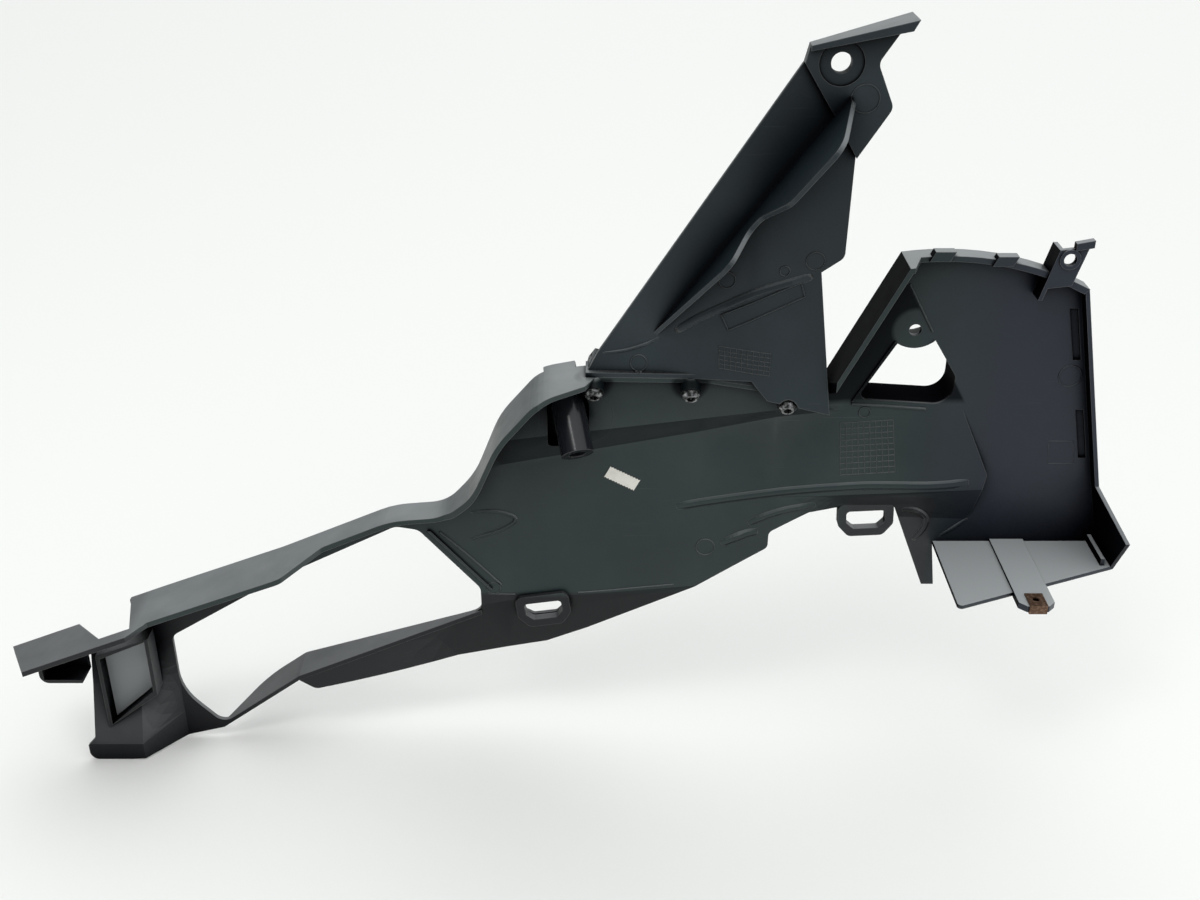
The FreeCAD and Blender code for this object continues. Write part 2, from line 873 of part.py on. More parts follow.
def window_rib():
    """The low rib on the field along the window's right side."""
    corners = window_corners()
    top = corners[-2][:2]
    low = corners[-1][:2]
    inset = size("window_rib_inset")
    across = inset + size("window_rib_wall")
    band = [
        (top[0] + inset, top[1]),
        (top[0] + across, top[1]),
        (low[0] + across, low[1]),
        (low[0] + inset, low[1]),
    ]
    return [prism("window_rib", "XZ", band, -size("window_rib_stand"), skin)]


def window_wall():
    """The curved wall that runs back from the window's lower bar, deepest at its middle."""
    bar = size("window_bar")
    low = [corner[:2] for corner in window_corners()[:3]]
    band = low + list(reversed(moved(low, ZERO, -bar)))
    strip = prism("window_strip", "XZ", band, -far, far)
    deep = size("window_wall_depth")
    plan = [
        (throat_x, ZERO),
        (throat_x, skin),
        (nose_x, deep, size("window_wall_round")),
        (nose_x - size("dip_run") * HALF, deep, size("window_wall_round")),
        (dip_x, skin),
        (dip_x, ZERO),
    ]
    keep = prism("window_wall_plan", "XY", plan, -far - far - far, far)
    return [common("window_wall", [strip, keep])]


def eye_corners(width, height):
    """An eye with a flat top and drawn-in foot."""
    side = width * HALF
    rise = height * HALF
    ease = height * size("eye_corner")
    foot = side * size("eye_foot")
    low = -rise * size("eye_side")
    return [
        (-side, rise, ease),
        (side, rise, ease),
        (side, low, ease),
        (foot, -rise, ease),
        (-foot, -rise, ease),
        (-side, low, ease),
    ]


def eyes(name, width, height, front, back):
    made = []
    for place in ("skirt_eye", "edge_eye"):
        solid = prism(f"{place}_{name}", "XZ", eye_corners(width, height), front, back)
        base = (-size(f"{place}_left"), ZERO, -size(f"{place}_drop"))
        made.append(placed(solid, base, (Y_AXIS, -size(f"{place}_turn"))))
    return made


def boss_bar(name, diameter, start, length):
    """A round bar on the boss's axis, start beyond its foot."""
    tilt = size("boss_tilt")
    yaw = size("boss_yaw")
    out = (cosine(tilt) * sine(yaw), -cosine(tilt) * cosine(yaw), -sine(tilt))
    foot = (-size("boss_left"), ZERO, -size("boss_drop"))
    base = [place + step * start for place, step in zip(foot, out)]
    lean_axis = FreeCAD.Vector(cosine(yaw).value, sine(yaw).value, 0)
    return cylinder(name, diameter, length, base, (lean_axis, number(90) + tilt))


def arch_corners(grow):
    """The arched hollow behind the boss, grown on all sides."""
    ease = size("arch_round") + grow
    left = -size("arch_left") - grow
    right = -size("arch_right") + grow
    top = -size("arch_top") + grow
    low = -size("arch_low") - grow
    return [
        (left, low, skin),
        (left, top, ease),
        (right, top, ease),
        (right, low, skin),
    ]


def boss_and_arch(whole):
    root = size("boss_root")
    bar = boss_bar("boss_bar", size("boss_diameter"), -root, size("boss_length") + root)
    return [
        common("boss", [bar, whole]),
        prism("boss_arch", "XZ", arch_corners(size("thin_wall")), ZERO, size("arch_depth") + skin),
    ]


def pocket_corners(grow):
    """The pocket at the pointed end, grown on all sides."""
    left = -size("pocket_left") - grow
    right = -size("pocket_left") + size("pocket_width") + grow
    top = -size("pocket_top") + grow
    low = top - size("pocket_height") - grow - grow
    slant = size("pocket_slant")
    return [
        (left, low),
        (left, top),
        (right, top + slant),
        (right, low + slant + slant),
    ]


def pocket_and_block():
    """The open pocket at the pointed end, and the block below its tab."""
    wall = size("thin_wall")
    rim = size("pocket_rim")
    deep = skin - size("pocket_floor")
    block_right = end_x + skin
    block_left = block_right - size("block_width")
    top = end_top - size("end_gap") * HALF + skin
    low = top - size("block_height") - skin
    block = [
        (block_left, low, soft),
        (block_left, top - skin),
        (block_right, top),
        (block_right, low),
    ]
    hollow = [
        (block_left + wall, low + wall),
        (block_left + wall, top + skin),
        (block_right, top + skin),
        (block_right, low + wall),
    ]
    front = -size("block_front")
    back = -size("block_back")
    body = prism("block_body", "XZ", block, front, back)
    room = prism("block_room", "XZ", hollow, front, back - wall)
    return [prism("pocket_body", "XZ", pocket_corners(wall), -rim, deep), cut("end_block", body, room)]


def bracket_place():
    """The centre of the bracket's bore, on its front face."""
    across = size("bracket_left") + size("bracket_bore_right")
    return across, -size("bracket_stand"), size("bracket_low") + size("bracket_bore_up")


def bracket():
    """The ear with a ringed bore in front of the plate's top lip, its bar and the cheek that carries it."""
    left = size("bracket_left")
    right = left + size("bracket_width")
    low = size("bracket_low")
    top = low + size("bracket_height")
    lean = size("bracket_lean")
    rise = size("bracket_rise")
    front = -size("bracket_stand")
    wall = size("thin_wall")
    across, _, height = bracket_place()
    tip = right + lean + size("bracket_spread")
    ear = [
        (left - wall, low),
        (left + lean - wall, top),
        (tip, top + rise),
        (right, low + rise),
    ]
    foot = top - size("bracket_cheek")
    cheek = [
        (left - wall - rise, foot),
        (left + lean - wall, top),
        (left + lean, top),
        (left - rise, foot),
    ]
    bar = [
        (tip - size("bracket_bar"), top),
        (tip - size("bracket_bar"), top + size("bracket_bar_height")),
        (tip + rise, top + rise + size("bracket_bar_height")),
        (tip + rise, top + rise),
    ]
    ring_place = (across, front + skin - size("bracket_ring_stand"), height)
    ring = cylinder("bracket_ring", size("bracket_ring"), skin, ring_place, (X_AXIS, number(90)))
    return [
        prism("bracket_ear", "XZ", ear, front, front + skin),
        prism("bracket_cheek", "XZ", cheek, front, skin),
        prism("bracket_bar", "XZ", bar, front - size("bracket_bar_stand"), front + skin),
        ring,
    ]


def bracket_hole():
    across, front, height = bracket_place()
    turn = (X_AXIS, number(90))
    return cylinder("bracket_hole", size("bracket_bore"), far, (across, front + skin + skin, height), turn)


def clips():
    """Two hooks on the plate's top lip."""
    made = []
    low_front = -size("plate_lip_depth") - size("clip_stand")
    for i in range(2):
        left = size("clip_first") + size("clip_pitch") * number(i)
        high = size("clip_first_top") - size("clip_fall") * number(i)
        right = left + size("clip_width")
        low = high - size("clip_height")
        corners = [
            (left, high),
            (right, high),
            (right - size("clip_slant"), low),
            (left - size("clip_slant"), low),
        ]
        made.append(prism(f"clip_{i + 1}", "XZ", corners, low_front, -size("plate_lip_depth") * HALF))
    return made


def slots():
    """Two blind slots beside the end wall."""
    made = []
    height = plate_right_top - tray_low
    for i in range(2):
        top = size("slot_first") - size("slot_pitch") * number(i)
        low = top - size("slot_length")
        inset = size("slot_inset")

        def right_at(z):
            return plate_right + size("plate_lean") * (plate_right_top - z) / height - inset

        corners = [
            (right_at(top) - size("slot_width"), top),
            (right_at(top), top),
            (right_at(low), low),
            (right_at(low) - size("slot_width"), low),
        ]
        made.append(prism(f"slot_{i + 1}", "XZ", corners, -skin, size("slot_depth")))
    return made


# Screws: each axis crosses the top of the ledge at its anchor and leans down towards the inner side.
screw_tilt = size("screw_tilt")
SCREW_TOPS = (ledge_top, break_top, notch_top)
screw_anchors = []
for i, anchor_top in enumerate(SCREW_TOPS):
    anchor_x = size("screw_pitch") * number(i) - size("screw_first")
    screw_anchors.append((anchor_x, -size("screw_entry"), anchor_top))
OUTWARDS = (X_AXIS, number(90) + screw_tilt)
INWARDS = (X_AXIS, screw_tilt - number(90))


def along_screw(anchor, distance):
    """The point on a screw's axis at this distance from its anchor, outwards."""
    x, y, z = anchor
    return x, y - cosine(screw_tilt) * distance, z - sine(screw_tilt) * distance


def screw_bars(name, diameter, start, length, turn=OUTWARDS):
    bars = []
    for i, anchor in enumerate(screw_anchors):
        bars.append(cylinder(f"{name}_{i + 1}", diameter, length, along_screw(anchor, start), turn))
    return bars


def strap_middle():
    """The axis of the spring nut, in plan."""
    across = size("strap_left") + size("strap_width") * HALF
    return across, -size("strap_depth") + size("nut_length") * HALF


def main_panel():
    reach = size("screw_reach")
    shank_bore = size("screw_diameter") + size("screw_clearance")
    whole = prism("panel_prism", "XZ", main_outline(), -far, far, {11: size("plate_top_radius")})
    pads = fuse("screw_pads", screw_bars("screw_pad", size("pad_diameter"), ZERO, reach))
    solids = panel_faces(whole) + top_walls() + end_wall() + tray() + sight_walls() + window_wall()
    solids += eyes("plate", size("eye_width"), size("eye_height"), -size("eye_stand"), skin)
    solids += bracket() + clips()
    solids += pocket_and_block() + window_rib()
    solids.append(common("seated_pads", [pads, whole]))
    across, along = strap_middle()
    holes = [
        prism("window", "XZ", list(reversed(window_corners())), -far, far),
        sight_hole("sight", ZERO, -far, far),
        cylinder("tab_hole", size("tab_bore"), far, (ZERO, far * HALF, ZERO), (X_AXIS, number(90))),
        boss_bar("boss_hole", size("boss_bore"), size("boss_length") - size("boss_bore_depth"), far),
        prism("pocket", "XZ", pocket_corners(ZERO), -far, -size("pocket_floor")),
        bracket_hole(),
        cylinder("strap_hole", size("strap_bore"), far, (across, along, tray_low - far * HALF)),
    ]
    holes += eyes("hole", size("eye_hole_width"), size("eye_hole_height"), -far, far)
    holes += slots()
    holes += screw_bars("shank_hole", shank_bore, -far * HALF, far)
    arch = prism("arch", "XZ", arch_corners(ZERO), -far, size("arch_depth"))
    boss, arch_walls = boss_and_arch(whole)
    shell = cut("arched_shell", fuse("panel_shell", solids + [arch_walls]), arch)
    return cut("main_panel", fuse("panel_solid", [shell, boss]), fuse("panel_holes", holes))


# Arm: the heel stands on the ledge, the head carries the bore.
arm_front = -size("arm_stand")
arm_back = arm_front + size("arm_wall")
heel_x = ledge_x + size("arm_heel_run")
heel_top = ledge_top + size("arm_heel_height")
temple_x = heel_x + size("arm_length") * cosine(size("arm_rake"))
temple_top = heel_top + size("arm_length") * sine(size("arm_rake"))
bore_x = temple_x + size("head_left")
crest_x = temple_x + size("head_crest")
crest_top = temple_top + size("head_top")
point_x = bore_x + size("head_point")
point_top = temple_top + size("head_point_up")
nick_x = bore_x + size("head_nick")
jaw_x = nick_x + size("head_jaw")
jaw_top = temple_top - size("head_jaw_drop")
chin_x = jaw_x - size("head_chin")
chin_top = temple_top - size("head_low")
hem_x = foot_x + size("hem_run")
hem_top = foot_top - size("hem_drop")
hip_x = hem_x - size("apron_edge_out")
hip_top = hem_top + size("apron_edge_drop")
waist_x = hip_x + size("arm_hip_in")
waist_top = hip_top + size("arm_hip_rise")
hook_x = hem_x - size("apron_hook")
hook_top = hem_top + size("apron_hook_rise")


def head_edge():
    """The arm's edge round the head, from the left of the bore to the chin."""
    return [
        (temple_x, temple_top),
        (crest_x, crest_top),
        (point_x, point_top),
        (nick_x, temple_top, soft),
        (jaw_x, jaw_top, soft),
        (chin_x, chin_top),
    ]


def arm_outline():
    return [(heel_x, heel_top, soft)] + head_edge() + [
        (waist_x, waist_top, soft),
        (hip_x, hip_top),
        (hem_x, hem_top),
        (hook_x, hook_top),
        (hook_x - size("apron_hook_run"), break_top),
        (break_x, break_top),
        (ledge_x, ledge_top),
    ]


def arm_skin(whole):
    """The blade, with the apron that leans forwards below the fold."""
    knee = size("fold_knee")
    rise = size("fold_knee_rise")
    folds = [
        (ledge_x - soft, heel_top),
        (heel_x + knee, heel_top + rise),
        (hip_x - knee, hip_top - rise),
        (point_x + soft, hip_top + rise),
    ]
    lean = far * sine(size("apron_slope")) / cosine(size("apron_slope"))
    drawn = []
    for i, (x, fold) in enumerate(folds):
        corners = [
            (arm_front, point_top + soft),
            (arm_back, point_top + soft),
            (arm_back, fold),
            (arm_back - lean, fold - far),
            (arm_front - lean, fold - far),
            (arm_front, fold),
        ]
        drawn.append(drawing(f"arm_section_{i + 1}", "YZ", corners, x))
    return common("arm_skin", [loft("arm_shape", drawn), whole])


def arm_head():
    """The head plate, which stands in front of the blade, with the flange along its top."""
    front = arm_front - size("head_stand")
    wall = size("head_flange_wall")
    plate = head_edge() + [(chin_x - size("head_chin_back"), chin_top + size("head_chin_rise"))]
    flange = [
        (crest_x, crest_top),
        (point_x, point_top),
        (point_x - wall, point_top - wall - wall),
        (crest_x, crest_top - wall),
    ]
    plan = [
        (crest_x, arm_back),
        (point_x, arm_back),
        (point_x, front - size("head_flange_depth")),
        (crest_x, front - size("head_flange_start")),
    ]
    band = prism("head_flange_band", "XZ", flange, front - far, arm_back)
    keep = prism("head_flange_plan", "XY", plan, ZERO, point_top + far)
    return [
        prism("head_plate", "XZ", plate, front, arm_back),
        common("head_flange", [band, keep]),
    ]


def arm_rib():
    """The rib: its root runs straight up the blade, its rim swells, dips and peaks."""
    ease = size("rib_round")
    sunk = size("arm_wall") * HALF
    corners = [
        (ZERO, sunk),
        (size("rib_length"), sunk),
        (size("rib_length"), -size("rib_end_depth")),
        (size("rib_tip"), -size("rib_tip_depth"), ease),
        (size("rib_peak"), -size("rib_peak_depth"), ease),
        (size("rib_waist"), -size("rib_waist_depth"), ease),
        (size("rib_bulge"), -size("rib_bulge_depth"), ease),
        (ZERO, ZERO),
    ]
    rib = prism("arm_rib", "XY", corners, ZERO, size("rib_wall"))
    base = (heel_x + size("rib_start"), arm_front, heel_top + size("rib_foot_rise"))
    return placed(rib, base, (Y_AXIS, -size("rib_rake")))


def foot_shelf():
    """The foot that lies on the ledge and carries the bosses of the screws."""
    tip = screw_anchors[-1][0] + size("pad_diameter")
    tip_top = notch_top + (foot_top - notch_top) * (tip - notch_x) / size("notch_run")
    rise = size("foot_shelf")
    band = [
        (ledge_x, ledge_top + rise),
        (break_x, break_top + rise),
        (notch_x, notch_top + rise),
        (tip, tip_top + rise),
        (tip, tip_top),
        (notch_x, notch_top),
        (break_x, break_top),
        (ledge_x, ledge_top),
    ]
    return prism("foot_shelf", "XZ", band, -size("lip_depth"), size("foot_shelf_back"))


def upper_arm():
    bosses = screw_bars("arm_boss", size("arm_boss_diameter"), ZERO, size("arm_boss_length"), INWARDS)
    whole = prism("arm_prism", "XZ", arm_outline(), -far, far)
    seated = common("seated_bosses", [fuse("arm_bosses", bosses), whole])
    body = fuse("arm_solid", [arm_skin(whole), *arm_head(), arm_rib(), foot_shelf(), seated])
    seat = [
        (ledge_x - far, ledge_top),
        (ledge_x, ledge_top),
        (break_x, break_top),
        (notch_x, notch_top),
        (foot_x, foot_top),
        (foot_x, foot_top - far),
        (ledge_x - far, foot_top - far),
    ]
    room = size("pad_diameter") + size("pad_clearance")
    pilot = size("screw_diameter") + size("screw_clearance")
    pilot_end = size("screw_reach") - size("screw_length") - size("arm_wall") * HALF
    ring = (bore_x, arm_front - size("head_stand") + size("head_ring_depth"), temple_top)
    holes = [
        prism("seat_room", "XZ", seat, -size("lip_depth") - size("lip_clearance"), far),
        cylinder("head_hole", size("head_bore"), far, (bore_x, far * HALF, temple_top), (X_AXIS, number(90))),
        cylinder("head_ring_cut", size("head_ring"), skin, ring, (X_AXIS, number(90))),
    ]
    holes += screw_bars("pad_room", room, size("pad_room_start"), far)
    holes += screw_bars("pilot_hole", pilot, pilot_end, far)
    return cut("upper_arm", body, fuse("arm_holes", holes))


def screw(index, anchor):
    """One thread-forming screw: its head sits on the pad, its shank runs into the arm's boss."""
    body = doc.addObject("PartDesign::Body", f"screw_{index}")
    placed(body, along_screw(anchor, size("screw_reach")), OUTWARDS)
    profile = body.newObject("Sketcher::SketchObject", f"screw_{index}_profile")
    profile.Placement = FreeCAD.Placement(FreeCAD.Vector(), PLANES["XZ"][0])
    head = size("screw_head_height")
    shank = size("screw_diameter") * HALF
    rim = size("screw_head") * HALF
    outline(profile, [
        (ZERO, head),
        (rim - head * HALF, head),
        (rim, head * HALF),
        (rim, ZERO),
        (shank, ZERO),
        (shank, -size("screw_length")),
        (ZERO, -size("screw_length")),
    ])
    turned = body.newObject("PartDesign::Revolution", f"screw_{index}_turned")
    turned.Profile = profile
    turned.ReferenceAxis = (profile, ["V_Axis"])
    turned.Angle = 360
    socket = body.newObject("Sketcher::SketchObject", f"screw_{index}_socket")
    bind(socket, "Placement.Base.z", head)
    socket.addGeometry(Part.Circle(FreeCAD.Vector(), Z_AXIS, size("screw_socket").value / 2), False)
    socket.addConstraint(Sketcher.Constraint("Coincident", 0, 3, -1, 1))
    hold(socket, "Diameter", 0, size("screw_socket"))
    pocket = body.newObject("PartDesign::Pocket", f"screw_{index}_pocket")
    pocket.Profile = socket
    bind(pocket, "Length", size("screw_socket_depth"))
    return body


def arm_screws():
    group = doc.addObject("Part::Compound", "arm_screws")
    group.Links = [screw(i, anchor) for i, anchor in enumerate(screw_anchors, start=1)]
    return group


def clip_nut():
    """The spring nut: a strip of sheet bent over the strap's front end, with a bore through both leaves."""
    sheet_wall = size("nut_sheet")
    front = -size("strap_depth")
    back = front + size("nut_length")
    top = plate_low + size("strap_rise")
    across, along = strap_middle()
    left = across - size("nut_width") * HALF
    bend = [
        (front - sheet_wall, top + sheet_wall),
        (back, top + sheet_wall),
        (back, top),
        (front, top),
        (front, tray_low),
        (back, tray_low),
        (back, tray_low - sheet_wall),
        (front - sheet_wall, tray_low - sheet_wall),
    ]
    strip = prism("nut_strip", "YZ", bend, left, left + size("nut_width"))
    bore = cylinder("nut_hole", size("nut_bore"), far, (across, along, tray_low - far * HALF))
    return cut("clip_nut", strip, bore)


def tape_patch():
    """The blank adhesive patch on the field."""
    side = size("patch_length") * HALF
    rise = size("patch_width") * HALF
    corners = [
        (-side, rise),
        (side, rise),
        (side, -rise),
        (-side, -rise),
    ]
    patch = prism("tape_patch", "XZ", corners, -size("patch_thickness"), ZERO)
    base = (-size("patch_left"), ZERO, -size("patch_drop"))
    return placed(patch, base, (Y_AXIS, size("patch_turn")))


pieces = {
    "main_panel": main_panel(),
    "upper_arm": upper_arm(),
    "arm_screws": arm_screws(),
    "clip_nut": clip_nut(),
    "tape_patch": tape_patch(),
}
for node, piece in pieces.items():
    piece.Label = node
doc.recompute()
for thing in doc.Objects:
    if "Invalid" in thing.State or "Error" in thing.State:
        raise RuntimeError(f"{thing.Name} did not build: {thing.State}")
os.makedirs("parts", exist_ok=True)
for node, piece in pieces.items():
    shape = piece.Shape
    if shape.isNull() or not shape.isValid():
        raise RuntimeError(f"{node} has no sound shape")
    print(node, len(shape.Solids), "solids", round(shape.Volume), "mm3")
    shape.exportStep(f"parts/{node}.step")
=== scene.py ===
"""Looks of the lower fairing panel: black moulded plastic with its mould marks, wear and small metal parts.

Lengths are written in millimetres of the part's frame and turned into metres by MM.
"""

import json
import math

import bpy
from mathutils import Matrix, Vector
from mathutils.bvhtree import BVHTree


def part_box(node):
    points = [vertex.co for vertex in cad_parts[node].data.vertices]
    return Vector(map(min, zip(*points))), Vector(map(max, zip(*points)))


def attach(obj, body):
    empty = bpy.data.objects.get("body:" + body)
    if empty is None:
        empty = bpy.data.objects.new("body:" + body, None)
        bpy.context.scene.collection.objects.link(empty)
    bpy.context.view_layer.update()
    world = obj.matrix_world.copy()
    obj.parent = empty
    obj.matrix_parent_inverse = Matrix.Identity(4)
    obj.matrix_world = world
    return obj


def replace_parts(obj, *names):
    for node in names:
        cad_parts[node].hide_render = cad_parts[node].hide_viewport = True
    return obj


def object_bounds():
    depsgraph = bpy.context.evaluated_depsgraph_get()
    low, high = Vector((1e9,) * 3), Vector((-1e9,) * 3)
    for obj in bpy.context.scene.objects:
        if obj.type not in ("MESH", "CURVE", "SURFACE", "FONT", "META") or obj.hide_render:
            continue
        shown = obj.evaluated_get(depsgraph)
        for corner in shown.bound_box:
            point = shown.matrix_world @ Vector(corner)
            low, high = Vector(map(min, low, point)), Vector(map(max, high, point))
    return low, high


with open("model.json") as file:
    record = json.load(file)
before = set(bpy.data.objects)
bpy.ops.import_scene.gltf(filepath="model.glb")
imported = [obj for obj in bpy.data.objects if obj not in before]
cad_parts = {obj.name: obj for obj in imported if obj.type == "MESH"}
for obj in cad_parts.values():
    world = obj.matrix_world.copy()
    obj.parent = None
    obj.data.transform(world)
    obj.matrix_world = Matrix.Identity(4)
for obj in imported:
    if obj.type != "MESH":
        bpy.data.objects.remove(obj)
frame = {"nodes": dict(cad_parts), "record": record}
cad_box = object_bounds()

MM = 0.001

# The photograph's camera, in the part's frame. Its reach is in metres.
CAMERA_PLACE = (-191.2, -783.3, 334.1)
CAMERA_TILT = 62.0
CAMERA_LENS = 42.0
CAMERA_SENSOR = 36.0
CAMERA_REACH = 100.0

# Stage: a white floor, its side in metres, under a studio sky that is bright overhead and behind and dim
# at the left.
FLOOR_SIDE = 16.0
FLOOR_GAP = 0.5
FLOOR_COLOUR = (0.93, 0.93, 0.91)
FLOOR_FRONT_COLOUR = (0.62, 0.62, 0.62)
FLOOR_FADE = (-350.0, -900.0)
FLOOR_ROUGHNESS = 0.6
SKY_TINT = (0.98, 1.0, 1.0)
SKY_BASE = 0.30
SKY_CEILING = 1.32
SKY_CEILING_BAND = (0.0, 1.0)
SKY_WALL = 0.40
SKY_WALL_BAND = (0.1, 0.9)
SKY_LEFT_LOSS = 0.85
SKY_LEFT_BAND = (0.0, -0.7)
# Soft boxes: name, place in metres, aim in metres, side in metres, power in watts.
SOFT_BOXES = (
    ("key", (-0.7, -0.9, 1.5), (-0.2, 0.0, -0.1), 0.5, 5.0),
)

# Shading: edges that turn more than this stay sharp. Points closer than the gap, in metres, are joined.
SHARP_ANGLE = 28.0
MERGE_GAP = 1e-6

# Mould marks: how deep their foot is sunk, where across a mark its foot and crest lie, where the rays that
# find the surface start, the steps along a mark, and how many steps its end takes to run out.
SINK = 0.15
FOOT_SHARE = 0.5
CREST_SHARE = 0.2
PANEL_START = -9.0
ARM_START = -27.0
RING_POINTS = 40
ROUTE_STEP = 2.5
RUN_OUT = 5
# Ejector rings: x, z and radius.
PANEL_RINGS = (
    (98.5, -30.7, 7.0),
    (-122.1, -154.5, 6.0),
    (-262.2, -187.0, 4.5),
    (-26.0, -55.5, 3.5),
)
ARM_RINGS = (
    (-167.8, -17.3, 5.0),
    (-65.0, 47.0, 5.5),
    (-82.6, 40.9, 3.0),
    (-116.4, 35.3, 5.0),
    (-45.1, 143.0, 8.0),
)
# The date grid on the apron and the faint grid on the field: corners, then columns and rows.
DATE_GRID = (((-119.8, -5.2), (-88.7, -9.0), (-89.4, -22.4), (-119.5, -18.6)), 9, 5)
FIELD_GRID = (((-40.8, -62.8), (-7.8, -60.7), (-3.8, -95.8), (-38.6, -98.0)), 9, 9)
# The shallow frame on the apron and the square mark on the plate.
APRON_FRAME = ((-119.1, 13.5), (-72.7, 33.7), (-70.0, 25.5), (-114.7, 4.7))
PLATE_SQUARE = ((92.0, -76.0), (108.0, -76.0), (110.0, -92.0), (94.0, -92.0))
# Smooth creases, each through a few points.
FIELD_CREASE = (
    (-142.0, -124.0), (-101.1, -115.7), (-63.2, -109.3), (-25.3, -105.5), (19.3, -105.4), (44.0, -103.0))
ARM_CREASE = ((-189.4, -11.5), (-176.1, -9.5), (-162.3, -5.0), (-156.0, -1.5))
SKIRT_CREASE_LEFT = ((-266.0, -191.5), (-257.0, -191.8), (-248.0, -192.0))
SKIRT_CREASE_RIGHT = ((-206.0, -190.5), (-191.0, -189.3), (-170.0, -187.0), (-142.0, -184.0))
APRON_FOLD = ((-146.0, 3.0), (-132.0, 11.5), (-116.0, 19.5), (-101.0, 26.5), (-86.0, 31.5), (-66.0, 37.5))
NOTCH_FLUTE = ((-112.0, -152.0), (-103.0, -147.0), (-95.0, -143.5), (-88.0, -142.5))
NOTCH_ROLL = ((-95.0, -136.0), (-82.0, -129.0), (-68.0, -124.0), (-52.0, -120.5))
FOOT_RIM = ((31.0, -146.5), (36.5, -142.0), (42.0, -137.5), (48.0, -133.0))
FOOT_CUP = ((4.0, -125.0), (13.0, -125.5), (20.5, -132.5), (19.5, -141.0), (13.5, -149.0))
WINDOW_BULGE = ((-275.0, -128.0), (-258.0, -127.5), (-246.0, -133.0), (-256.0, -141.5), (-276.0, -148.5))
WINDOW_GROOVE = ((-296.0, -143.0), (-279.0, -160.0), (-257.0, -184.0))
# Straight rims round the triangular window.
PLATE_RIM = ((-6.5, 29.5), (10.4, -1.0))
SIGHT_RIM = ((-34.5, -48.2), (-11.5, -7.6))
SIGHT_FOOT = ((-34.5, -49.6), (12.0, -53.3))

# The patch: a torn edge along its long sides.
PATCH_LENGTH = 21.5
PATCH_WIDTH = 9.0
PATCH_TURN = 28.0
PATCH_TEETH = 11
PATCH_TOOTH = 0.7

# Places on the panel. Within this share of its reach a round place counts in full.
NEAR_CORE = 0.8
# The glossy boss: its middle, the reach of its polish, and the part that stands proud of its foot.
BOSS_MIDDLE = (-206.0, -20.0, -57.0)
BOSS_REACH = 30.0
BOSS_PROUD_REACH = 24.0
BOSS_FOOT = -10.0
BOSS_BLEND = 3.0
BOSS_POLISH = 0.22
# The tray's floor, lightened with painted light and kept clear of painted shade: its height, left edge and
# how level it is.
TRAY_LEVEL = -140.0
TRAY_LEFT = 20.0
TRAY_BLEND = 5.0
TRAY_TURN = (0.93, 0.99)
TRAY_LIGHT = 0.88
# The flat floor of the pocket at the pointed end, lightened with painted light as if it faced up and kept
# clear of painted shade. The slack is how far off its depth the painted light starts, and where it is full.
POCKET_MIDDLE = (-511.0, -10.0, -256.0)
POCKET_REACH = 60.0
POCKET_TURN = (-0.97, -0.99)
POCKET_SLACK = (0.8, 0.4)
POCKET_LIGHT = 0.8
# The pads round the three screws, darkened with painted shade as if under the lip, and kept free of dust.
PAD_PLACES = ((-195.0, -12.0, -32.0), (-136.0, -12.0, -33.0), (-77.0, -14.0, -38.0))
PAD_REACH = 14.0
PAD_TOP = -25.0
PAD_BLEND = 2.0
# The bluer end plate.
PLATE_START = 0.0
PLATE_BLEND = 60.0
# Plainer black: the skirt below its crease, and the foot to the right of the edge eye. The skirt also
# takes a little painted shade.
SKIRT_COLOUR = (0.011, 0.012, 0.015)
SKIRT_TOP = -190.0
SKIRT_BLEND = 3.0
FOOT_CORNER = (-40.0, -107.0)
FOOT_RIGHT = 20.0
FOOT_BLEND = 12.0
# The inside of the tube behind the triangular window, darkened with painted shade and kept free of dust.
SIGHT_MIDDLE = (0.0, 18.0, -36.0)
SIGHT_REACH = 42.0
SIGHT_FRONT = (0.5, 2.0)
SIGHT_INSIDE = 2.0
# The ground round the triangular window, dimmed with painted shade. The plate's rim bounds it at the right,
# the window's foot below, and the tab in its middle stays bright.
GROUND_LINE = (-0.876, 0.0, -0.483)
GROUND_OFFSET = 8.6
GROUND_BLEND = 1.5
GROUND_LEFT = -58.0
GROUND_FOOT = -50.0
GROUND_EDGE = 4.0
GROUND_FRONT = (-3.0, -2.0)
TAB_MIDDLE = (0.0, 0.0, 0.0)
TAB_REACH = 15.0
# Left-facing walls lie in shade from the beam's foot rightwards, and faces that lean down do everywhere.
BEAM_LEFT = -80.0
BEAM_BLEND = 5.0
LEFT_TURN = (-0.74, -0.85)
DOWN_TURN = (-0.12, -0.28)
# How much of the light each dim place loses.
LEFT_DIM = 0.98
SIGHT_DIM = 0.995
DOWN_DIM = 0.6
PAD_DIM = 0.7
GROUND_DIM = 0.8
SKIRT_DIM = 0.25

# Plastic: noises by the size of their lumps, and the bands in which they act.
CLOUD = {"grain": 70.0, "detail": 4.0}
CLOUD_BAND = (0.35, 0.7)
BLOTCH = {"grain": 22.0, "detail": 5.0}
BLOTCH_BAND = (-1.2, 0.75)
SCRATCH = {"grain": 1.2, "detail": 2.0, "stretch": (40.0, 1.0, 1.0), "turn": (0.0, 32.0, 0.0)}
SCRATCH_BAND = (0.66, 0.72)
SCRATCH_ZONE = {"grain": 90.0, "detail": 2.0}
SCRATCH_ZONE_BAND = (0.5, 0.7)
SCRATCH_FILM = 0.05
# Dust and painted light on upward faces: their colour, and the band of facing in which they take hold.
DUST_AND_LIGHT_COLOUR = (0.40, 0.42, 0.43)
DUST_AND_LIGHT_TURN = (0.15, 0.85)
